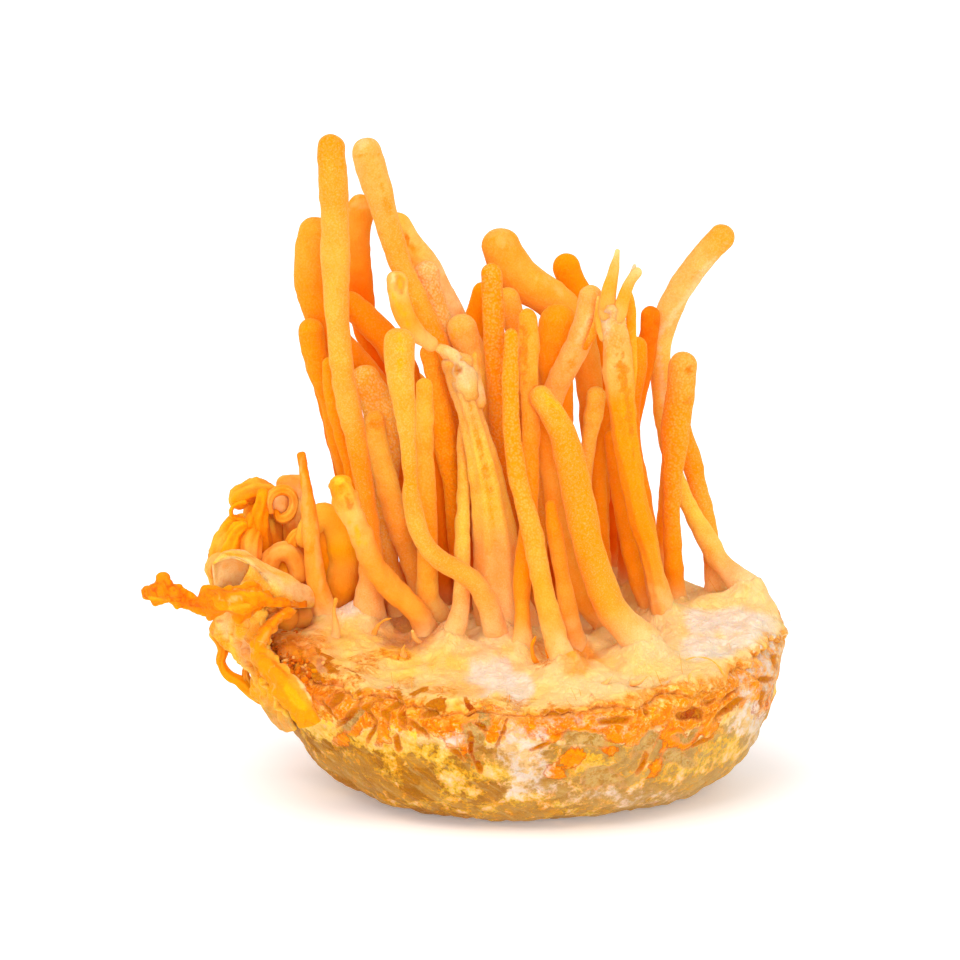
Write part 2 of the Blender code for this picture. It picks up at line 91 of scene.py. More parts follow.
def smoothPath(points, count=12):
    # Catmull-Rom through the points: 0.5(2b + (c-a)t + (2a-5b+4c-d)t^2 + (3b-a-3c+d)t^3) on each stretch
    p = np.asarray(points, float)
    p = np.vstack([2 * p[:1] - p[1:2], p, 2 * p[-1:] - p[-2:-1]])
    t = np.linspace(0.0, 1.0, count, endpoint=False)[None, :, None]
    a, b, c, d = (p[i:len(p) - 3 + i, None, :] for i in range(4))
    run = 0.5 * (2 * b + (c - a) * t + (2 * a - 5 * b + 4 * c - d) * t ** 2
                 + (3 * b - a - 3 * c + d) * t ** 3)
    return np.vstack([run.reshape(-1, p.shape[1]), p[-2]])


def lengthsAlong(path):
    # the running sum of the lengths of the path's steps
    return np.concatenate([[0.0], np.cumsum(np.linalg.norm(np.diff(path, axis=0), axis=1))])


def readPath(path, lengths, places):
    # the path's points at given lengths along it, straight between its own points
    return np.stack([np.interp(places, lengths, path[:, k]) for k in range(path.shape[1])], axis=-1)


def latticeShare(cell, seed):
    # a share from 0 to 1 for each lattice point, its whole numbers mixed by multiplying and shifting
    n = cell[..., 0] * 374761393 + cell[..., 1] * 668265263 + cell[..., 2] * 1440662683 + seed * 974634777
    n = n & 0xFFFFFFFF
    n = ((n ^ (n >> 13)) * 1274126177) & 0xFFFFFFFF
    n = ((n ^ (n >> 16)) * 668265263) & 0xFFFFFFFF
    return ((n ^ (n >> 15)) & 0xFFFFFF) / 0xFFFFFF


def noise(points, size, seed=0, octaves=1):
    # lattice shares blended by 6t^5 - 15t^4 + 10t^3, about -1 to 1; each octave has half the size and strength
    octaveShift, gain = 17.31, 1.5
    total, strength, whole = 0.0, 1.0, 0.0
    for octave in range(octaves):
        place = points / (size / 2 ** octave) + octaveShift * octave
        low = np.floor(place).astype(np.int64)
        t = place - low
        t = t * t * t * (t * (t * 6.0 - 15.0) + 10.0)
        value = 0.0
        for corner in ((0, 0, 0), (1, 0, 0), (0, 1, 0), (1, 1, 0), (0, 0, 1), (1, 0, 1), (0, 1, 1), (1, 1, 1)):
            weight = np.prod(np.where(np.array(corner), t, 1.0 - t), axis=-1)
            value = value + weight * latticeShare(low + np.array(corner), seed + octave)
        total = total + strength * (2.0 * value - 1.0)
        whole += strength
        strength *= 0.5
    return gain * total / whole


def cells(points, size, seed=0):
    # one spot strewn in each lattice cell: how far the nearest and the next are, and the nearest's own share
    place = points / size
    low = np.floor(place).astype(np.int64)
    nearest = np.full(place.shape[:-1], farOff)
    second, own = nearest.copy(), nearest.copy()
    for step in range(27):
        cell = low + np.array([step % 3 - 1, step // 3 % 3 - 1, step // 9 - 1])
        spot = cell + np.stack([latticeShare(cell, seed + k) for k in (1, 2, 3)], axis=-1)
        gap = np.linalg.norm(place - spot, axis=-1)
        closer = gap < nearest
        second = np.where(closer, nearest, np.minimum(second, gap))
        own = np.where(closer, latticeShare(cell, seed + 4), own)
        nearest = np.where(closer, gap, nearest)
    return nearest, second, own


# From the front view to space and back

def seenPoint(pixelX, pixelY, depth):
    # the point that shows at a pixel and stands a depth behind the origin: its sight line cut by that plane
    right = (pixelX - front["middle"]) / front["pixelsPerMm"]
    up = (front["middle"] - pixelY) / front["pixelsPerMm"]
    far = front["distance"]
    rise = (up * (1.0 + depth * cosRise / far) - depth * sinRise) / (cosRise + up * sinRise / far)
    away = far + depth * cosRise - rise * sinRise
    return np.stack([front["aimX"] + right * away / far, depth + 0.0 * rise, front["aimZ"] + rise], axis=-1)


def seenPixel(points):
    # the pixel at which a point shows: its offset from the aim, shrunk by its distance
    x, y, z = points[..., 0] - front["aimX"], points[..., 1], points[..., 2] - front["aimZ"]
    shrink = front["distance"] / (front["distance"] + y * cosRise - z * sinRise) * front["pixelsPerMm"]
    return front["middle"] + x * shrink, front["middle"] - (y * sinRise + z * cosRise) * shrink


def seenPath(seen, depth):
    # a smooth path in space through pixels, its depth read from end to end along the picture's line
    line = np.array(seen, float)
    share = lengthsAlong(line)
    return smoothPath(seenPoint(line[:, 0], line[:, 1], between(depth, share / share[-1])))


def blot(points, facing, spot, waver=0.0):
    # 1 inside an ellipse of the front view and 0 outside, on what faces the camera: x, y, half sizes, turn
    x, y, halfWide, halfHigh, turn = spot
    pixelX, pixelY = seenPixel(points)
    c, s = math.cos(math.radians(turn)), math.sin(math.radians(turn))
    a = ((pixelX - x) * c + (pixelY - y) * s) / halfWide
    b = ((pixelY - y) * c - (pixelX - x) * s) / halfHigh
    return ease(1.0, 0.5, np.sqrt(a * a + b * b) + waver) * ease(-0.05, 0.25, facing)


# Surfaces

def gridSurface(points, around=True, poles=True, **fields):
    # quads over rows and columns; around joins the last column to the first, poles close both ends by a fan
    rows, columns = points.shape[:2]
    index = np.arange(rows * columns).reshape(rows, columns)
    left = index if around else index[:, :-1]
    right = np.roll(index, -1, axis=1) if around else index[:, 1:]
    quads = np.stack([left[:-1], right[:-1], right[1:], left[1:]], axis=-1).reshape(-1, 4)
    spots = points.reshape(-1, 3)
    values = {name: field.reshape(rows * columns, -1) for name, field in fields.items()}
    tris = np.zeros((0, 3), int)
    if poles:
        first, last = rows * columns, rows * columns + 1
        starts = np.stack([np.full(columns, first), right[0], left[0]], axis=-1)
        ends = np.stack([np.full(columns, last), left[-1], right[-1]], axis=-1)
        tris = np.vstack([starts, ends])
        spots = np.vstack([spots, points[0].mean(0), points[-1].mean(0)])
        values = {name: np.vstack([value, value[:columns].mean(0), value[-columns:].mean(0)])
                  for name, value in values.items()}
    return {"spots": spots, "quads": quads, "tris": tris, "fields": values}


def fleshGrid(points, tint, fleck=0.0, pebble=0.0, worn=0.0, **sides):
    # a grid with the fields of flesh, each from 0 to 1
    masks = {"pebble": pebble, "fleck": fleck, "worn": worn}
    masks = {name: np.clip(mask + 0.0 * points[..., 0], 0, 1) for name, mask in masks.items()}
    return gridSurface(points, tint=tint, **masks, **sides)


def gridNormals(points, around=True):
    # the cross product of the steps along the columns and along the rows
    if around:
        across = np.roll(points, -1, axis=1) - np.roll(points, 1, axis=1)
    else:
        across = np.gradient(points, axis=1)
    return unit(np.cross(across, np.gradient(points, axis=0)))


made = {"pieces": 0, "triangles": 0}


def makePiece(name, surfaces, material, slot, *nodes):
    # joins the surfaces in one mesh with their fields as attributes, and stands it in for CAD nodes
    starts = np.cumsum([0] + [len(s["spots"]) for s in surfaces])
    spots = np.vstack([s["spots"] for s in surfaces]) * mm
    quads = np.vstack([s["quads"] + start for s, start in zip(surfaces, starts)])
    tris = np.vstack([s["tris"] + start for s, start in zip(surfaces, starts)])
    mesh = bpy.data.meshes.new(name)
    mesh.vertices.add(len(spots))
    mesh.vertices.foreach_set("co", spots.astype(np.float32).ravel())
    mesh.loops.add(quads.size + tris.size)
    mesh.polygons.add(len(quads) + len(tris))
    loopStarts = np.concatenate([np.arange(len(quads)) * 4, quads.size + np.arange(len(tris)) * 3])
    mesh.polygons.foreach_set("loop_start", loopStarts.astype(np.int32))
    mesh.polygons.foreach_set("vertices", np.concatenate([quads.ravel(), tris.ravel()]).astype(np.int32))
    for field in surfaces[0]["fields"]:
        values = np.vstack([s["fields"][field] for s in surfaces])
        if values.shape[1] == 3:
            values = np.hstack([np.clip(values, 0.0, 1.0), np.ones((len(values), 1))])
            mesh.attributes.new(field, "FLOAT_COLOR", "POINT").data.foreach_set("color", values.ravel())
        else:
            mesh.attributes.new(field, "FLOAT", "POINT").data.foreach_set("value", values.ravel())
    mesh.update(calc_edges=True)
    mesh.shade_smooth()
    mesh.materials.append(material)
    piece = bpy.data.objects.new(name, mesh)
    bpy.context.scene.collection.objects.link(piece)
    made["pieces"] += 1
    made["triangles"] += 2 * len(quads) + len(tris)
    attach(piece, "root")
    if nodes:
        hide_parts(*nodes)
    return piece


def roundedEnd(lengths, radius, least=0.0):
    # a half circle's profile: sqrt(1 - (1 - s/r)^2), which is 0 at the end and 1 from a radius on
    return np.sqrt(np.clip(1.0 - np.clip(1.0 - lengths / radius, 0.0, 1.0) ** 2, least, 1.0))


def carriedTube(path, thick, spacing=0.43, sides=28, flare=0.0, flareLength=4.0, flat=1.0, blunt=False):
    # a ring carried along the path: radius is read from thick, rounded over the tip, and over the foot unless
    # it is blunt, times 1 + flare e^(-t/flareLength), with t the length that is left to the foot
    firstTilt, lastTilt, tipRings, footRings, fewestRings, evening = 0.16, 1.42, 9, 8, 6, 7
    lengths = lengthsAlong(path)
    full = lengths[-1]
    tip = min(thick[0] / 2, full / 4)
    cap = tip * (1.0 - np.cos(np.linspace(firstTilt, math.pi / 2, tipRings)))
    places = np.concatenate([cap, np.linspace(tip, full, max(fewestRings, int((full - tip) / spacing)))[1:]])
    if not blunt:
        end = max(thick[-1] / 2, 0.02)
        places = places[places < full - end * 1.1]
        places = np.concatenate([places, full - end * (1.0 - np.sin(np.linspace(0.0, lastTilt, footRings)))])
    share = places / full
    # the thicknesses are evened out by a running mean before they are read
    wide = np.pad(between(thick, np.linspace(0, 1, 61)), evening // 2, "edge")
    radius = between(np.convolve(wide, np.ones(evening) / evening, "valid"), share) / 2
    radius = radius * roundedEnd(places, tip) * (1.0 + flare * np.exp(-(full - places) / flareLength))
    if not blunt:
        radius = radius * roundedEnd(full - places, end, 1e-4)
    centre = readPath(path, lengths, places)
    step = max(0.6, tip * 0.6)
    heading = unit(readPath(path, lengths, np.clip(places + step, 0, full))
                   - readPath(path, lengths, np.clip(places - step, 0, full)))
    sideways = unit(np.cross(heading, [0.0, 1.0, 0.0]))
    forward = np.cross(heading, sideways)
    turn = np.linspace(0.0, 2 * math.pi, sides, endpoint=False)
    ring = np.cos(turn)[None, :, None] * sideways[:, None]
    ring = ring + flat * np.sin(turn)[None, :, None] * forward[:, None]
    shares = np.repeat(share[:, None], sides, axis=1)
    return {"points": centre[:, None] + radius[:, None, None] * ring, "ring": unit(ring), "turn": turn[None],
            "share": shares, "place": shares * full, "left": full * (1 - shares)}


# Shader maths: an expression on wires adds its own nodes

def rgba(name, bright=1.0):
    # a named colour, brightened, with an alpha of 1
    return (*(colours[name] * bright), 1.0)


def socketOf(sockets, key):
    # a node's socket by its number, or else by its identifier or name
    return sockets[key] if isinstance(key, int) else [s for s in sockets if key in (s.identifier, s.name)][0]


class Wire:
    # one socket of a material's node tree, or the tree alone; +, - and * on it add Math nodes

    def __init__(self, tree, socket=None):
        self.tree = tree
        self.socket = socket

    def node(self, kind, settings=None, inputs=None, output=0):
        # a node of this type, its settings set first and then the values or links of its sockets
        added = self.tree.nodes.new(kind)
        for key, value in (settings or {}).items():
            setattr(added, key, value)
        for key, value in (inputs or {}).items():
            goal = socketOf(added.inputs, key)
            if isinstance(value, Wire):
                self.tree.links.new(value.socket, goal)
            else:
                goal.default_value = value
        return Wire(self.tree, socketOf(added.outputs, output))

    def math(self, operation, *others):
        # a Math node that takes this wire first and then the others
        return self.node("ShaderNodeMath", {"operation": operation}, dict(enumerate((self, *others))))

    def __add__(self, other):
        return self.math("ADD", other)

    __radd__ = __add__

    def __sub__(self, other):
        return self.math("SUBTRACT", other)

    def __rsub__(self, other):
        return self.node("ShaderNodeMath", {"operation": "SUBTRACT"}, {0: other, 1: self})

    def __mul__(self, other):
        return self.math("MULTIPLY", other)

    __rmul__ = __mul__

    def ease(self, low, high):
        # 0 at low and 1 at high, eased
        settings = {"interpolation_type": "SMOOTHSTEP"}
        return self.node("ShaderNodeMapRange", settings, {"Value": self, "From Min": low, "From Max": high})

    def mix(self, first, second):
        # this wire is the factor: 0 gives the first colour and 1 the second
        inputs = {"Factor_Float": self, "A_Color": first, "B_Color": second}
        return self.node("ShaderNodeMix", {"data_type": "RGBA", "clamp_factor": True}, inputs, "Result_Color")

    def under(self, mask, name, bright=1.0):
        # this colour with a named one laid over it, as strongly as the mask says
        return mask.mix(self, rgba(name, bright))

    def field(self, name, output="Fac"):
        # a piece's own attribute
        return self.node("ShaderNodeAttribute", {"attribute_name": name}, {}, output)

    def grain(self, place, scale, detail, rough=0.55, warp=0.0):
        # soft noise from 0 to 1, scale waves to the metre
        inputs = {"Vector": place, "Scale": scale, "Detail": detail, "Roughness": rough, "Distortion": warp}
        return self.node("ShaderNodeTexNoise", {}, inputs)

    def dots(self, place, scale):
        # how far the nearest of many strewn spots is, in cells
        inputs = {"Vector": place, "Scale": scale}
        return self.node("ShaderNodeTexVoronoi", {"feature": "F1"}, inputs, "Distance")


def finishMaterial(name, look, build):
    # a Principled shader with the look's constants; build(start, look) returns colour, roughness and height
    material = bpy.data.materials.new(name)
    material.use_nodes = True
    tree = material.node_tree
    shader = tree.nodes["Principled BSDF"]
    constants = {"Subsurface Weight": look["soft"], "Subsurface Radius": look["softReach"],
                 "Subsurface Scale": 1.0, "Specular IOR Level": look["shine"], "Sheen Weight": look["velvet"],
                 "Sheen Roughness": 0.3, "Sheen Tint": rgba("cream"), "Coat Weight": look.get("film", 0.0),
                 "Coat Roughness": 0.35}
    for socket, value in constants.items():
        shader.inputs[socket].default_value = value
    colour, rough, height = build(Wire(tree), look)
    relief = {"Strength": look["bump"], "Distance": look["bumpDepth"], "Height": height}
    bump = Wire(tree).node("ShaderNodeBump", {}, relief)
    for wire, goal in ((colour, "Base Color"), (rough, "Roughness"), (bump, "Normal")):
        tree.links.new(wire.socket, shader.inputs[goal])
    return material


def buildFlesh(start, look):
    # velvety flesh: its own tint, a fine powder, orange flecks, tiny seed-like pebbles, and cracks where worn
    place = start.node("ShaderNodeTexCoord", {}, {}, "Object")
    tint, pebbled, worn = start.field("tint", "Color"), start.field("pebble"), start.field("worn")
    cloud = start.grain(place, look["cloudsPerMetre"], 3.0)
    fleck = start.grain(place, look["flecksPerMetre"], 4.0, 0.62).ease(0.55, 0.66) * start.field("fleck")
    powder = start.grain(place, look["powderPerMetre"], 3.0, 0.7)
    pebble = start.dots(place, look["pebblesPerMetre"]).ease(0.75, 0.2)
    split = (start.grain(place, look["cracksPerMetre"], 5.0, 0.7, 0.6) - 0.5).math("ABSOLUTE")
    crack = split.ease(0.06, 0.0) * worn.ease(0.1, 0.7)
    stain = start.grain(place, look["stainsPerMetre"], 4.0, 0.65).ease(0.4, 0.62) * worn
    colour = tint.under(cloud.ease(0.4, 0.66) * look["cloudy"], "amber").under(fleck * 0.6, "amber")
    colour = colour.under(pebble * pebbled * 0.55, look["grains"])
    colour = colour.under((1.0 - pebble) * pebbled * 0.5, "amber")
    colour = colour.under(stain * 0.6, "amber").under(crack * 0.5, "deep")
    colour = colour.under(powder.ease(0.56, 0.36) * look["powder"], "amber", 0.93)
    colour = colour.under(powder.ease(0.5, 0.72) * look["powder"] * 1.2, look["grains"])
    rough = 0.7 + powder * 0.2 - fleck * 0.1
    height = powder * 0.5 + pebble * pebbled * 0.3 + cloud * 0.8 - crack * 0.2 - fleck * 0.1
    return colour, rough, height


# soft and softReach are the light that goes through the flesh, in metres; velvet is its sheen
softFlesh = {"soft": 0.35, "softReach": (0.0036, 0.0018, 0.0006), "shine": 0.03, "velvet": 0.45, "bump": 0.8,
             "bumpDepth": 0.00035, "cloudy": 0.35, "powder": 0.26, "grains": "cream", "cloudsPerMetre": 280.0,
             "flecksPerMetre": 1250.0, "powderPerMetre": 4400.0, "pebblesPerMetre": 2600.0,
             "cracksPerMetre": 900.0, "stainsPerMetre": 700.0}
fleshLooks = {
    "stem_pale": softFlesh,
    "stem_orange": {**softFlesh, "cloudy": 0.5, "velvet": 0.3, "grains": "peach"},
    "stem_deep": {**softFlesh, "cloudy": 0.3, "velvet": 0.12, "powder": 0.2, "grains": "apricot"},
    "frill": {**softFlesh, "soft": 0.3, "shine": 0.06, "velvet": 0.1, "film": 0.03, "cloudy": 0.4,
              "powder": 0.14, "grains": "peach"},
}
flesh = {slot: finishMaterial(slot + "Flesh", look, buildFlesh) for slot, look in fleshLooks.items()}
print("flesh materials made")


# The cake: one outline turned round, and the places on it

cake = {
    "halfWidth": 37.5, "halfDepth": 33.5, "frontDip": 3.0, "rightLift": 1.8, "backRise": 0.07, "leftCut": 0.10,
    # radius as a share of the half width, and height, from the underside's middle to the top's
    "outline": ((0.00, 0.0), (0.47, 0.0), (0.64, 0.6), (0.77, 2.2), (0.88, 6.4), (0.96, 13.5), (1.00, 19.6),
        (0.98, 21.6), (0.92, 22.7), (0.80, 22.4), (0.50, 21.8), (0.00, 21.5)),
    # how thick the felt is, and the radius at which marks on the side are laid out flat
    "feltThickness": 0.9, "skinRadius": 38.0,
    # mounds and hollows of the felt: pixel x and y in the front view, radius and height
    "forms": ((705, 622, 3.2, 2.0), (738, 640, 5.0, 1.2), (490, 672, 3.4, 1.6), (408, 634, 4.6, -2.2),
        (303, 622, 2.6, -2.2), (350, 655, 5.0, 1.0), (578, 658, 3.2, -2.0), (640, 668, 4.5, 0.9),
        (590, 690, 4.0, 0.5), (330, 640, 3.0, 1.2), (455, 655, 3.4, 0.7)),
    # the felt's own lumps: height and size
    "feltLumps": ((0.45, 6.0, 11), (0.22, 2.2, 12)),
}
outlinePath = smoothPath([(share * cake["halfWidth"], height) for share, height in cake["outline"]])
outlinePath[:, 1] = np.maximum(outlinePath[:, 1], 0.0)
outlineLengths = lengthsAlong(outlinePath)
outlineHeading = unit(np.gradient(outlinePath, axis=0))
rimLength = float(outlineLengths[outlinePath[:, 0].argmax()])


def cakePoints(longitude, lengthUp, out=0.0):
    # the outline at a length from the underside's middle, pushed out along its own normal and turned to a
    # longitude; it wobbles by sines, leans in low on the left, dips in front and lifts on the right
    radius = np.interp(lengthUp, outlineLengths, outlinePath[:, 0])
    height = np.interp(lengthUp, outlineLengths, outlinePath[:, 1])
    headingR = np.interp(lengthUp, outlineLengths, outlineHeading[:, 0])
    headingZ = np.interp(lengthUp, outlineLengths, outlineHeading[:, 1])
    radius = np.maximum(radius + out * headingZ, 0.0) / cake["halfWidth"]
    above = np.maximum(0.0, height - 13.0) / 11.0
    height = height - out * headingR
    wobble = 0.012 * np.sin(3 * longitude + 0.7) + 0.008 * np.sin(5 * longitude + 2.1)
    low = np.maximum(0.0, 1.0 - height / 14.0)
    left = np.maximum(0.0, -np.cos(longitude))
    reach = radius * (1.0 + wobble * ease(0.4, 0.6, radius)) * (1.0 - cake["leftCut"] * low * left ** 2)
    x = cake["halfWidth"] * reach * np.cos(longitude)
    y = cake["halfDepth"] * reach * np.sin(longitude)
    forward, right = np.maximum(0.0, -np.sin(longitude)), np.maximum(0.0, np.cos(longitude))
    height = height + above * radius * (cake["rightLift"] * right ** 2 - cake["frontDip"] * forward ** 1.5)
    return np.stack([x, y, height + above * cake["backRise"] * y], axis=-1)


def cakeTop(x, y):
    # the height of the cake's top at x and y, read back through the outline
    longitude = np.arctan2(y / cake["halfDepth"], x / cake["halfWidth"])
    radius = np.hypot(x / cake["halfWidth"], y / cake["halfDepth"])
    topPart = outlineLengths >= rimLength
    radii = outlinePath[topPart, 0][::-1] / cake["halfWidth"]
    lengthUp = np.interp(radius, radii, outlineLengths[topPart][::-1])
    return cakePoints(longitude, lengthUp)[..., 2]


def topPlaceSeen(pixelX, pixelY):
    # where the sight line of a pixel comes nearest the cake's top
    reach, steps = 33.0, 265
    depth = np.linspace(-reach, reach, steps)
    line = seenPoint(np.full(steps, float(pixelX)), np.full(steps, float(pixelY)), depth)
    return line[np.abs(line[:, 2] - cakeTop(line[:, 0], line[:, 1])).argmin(), :2]


formPlaces = [(*topPlaceSeen(x, y), radius, height) for x, y, radius, height in cake["forms"]]


def crustTop(x, y):
    # the cake's top, its felt, soft lumps, and each form as height times e^(-(d/radius)^2)
    place = np.stack([x, y, 0.0 * x], axis=-1)
    height = cakeTop(x, y) + cake["feltThickness"]
    for lump, size, seed in cake["feltLumps"]:
        height = height + lump * noise(place, size, seed)
    for formX, formY, radius, rise in formPlaces:
        height = height + rise * np.exp(-((x - formX) ** 2 + (y - formY) ** 2) / radius ** 2)
    return height
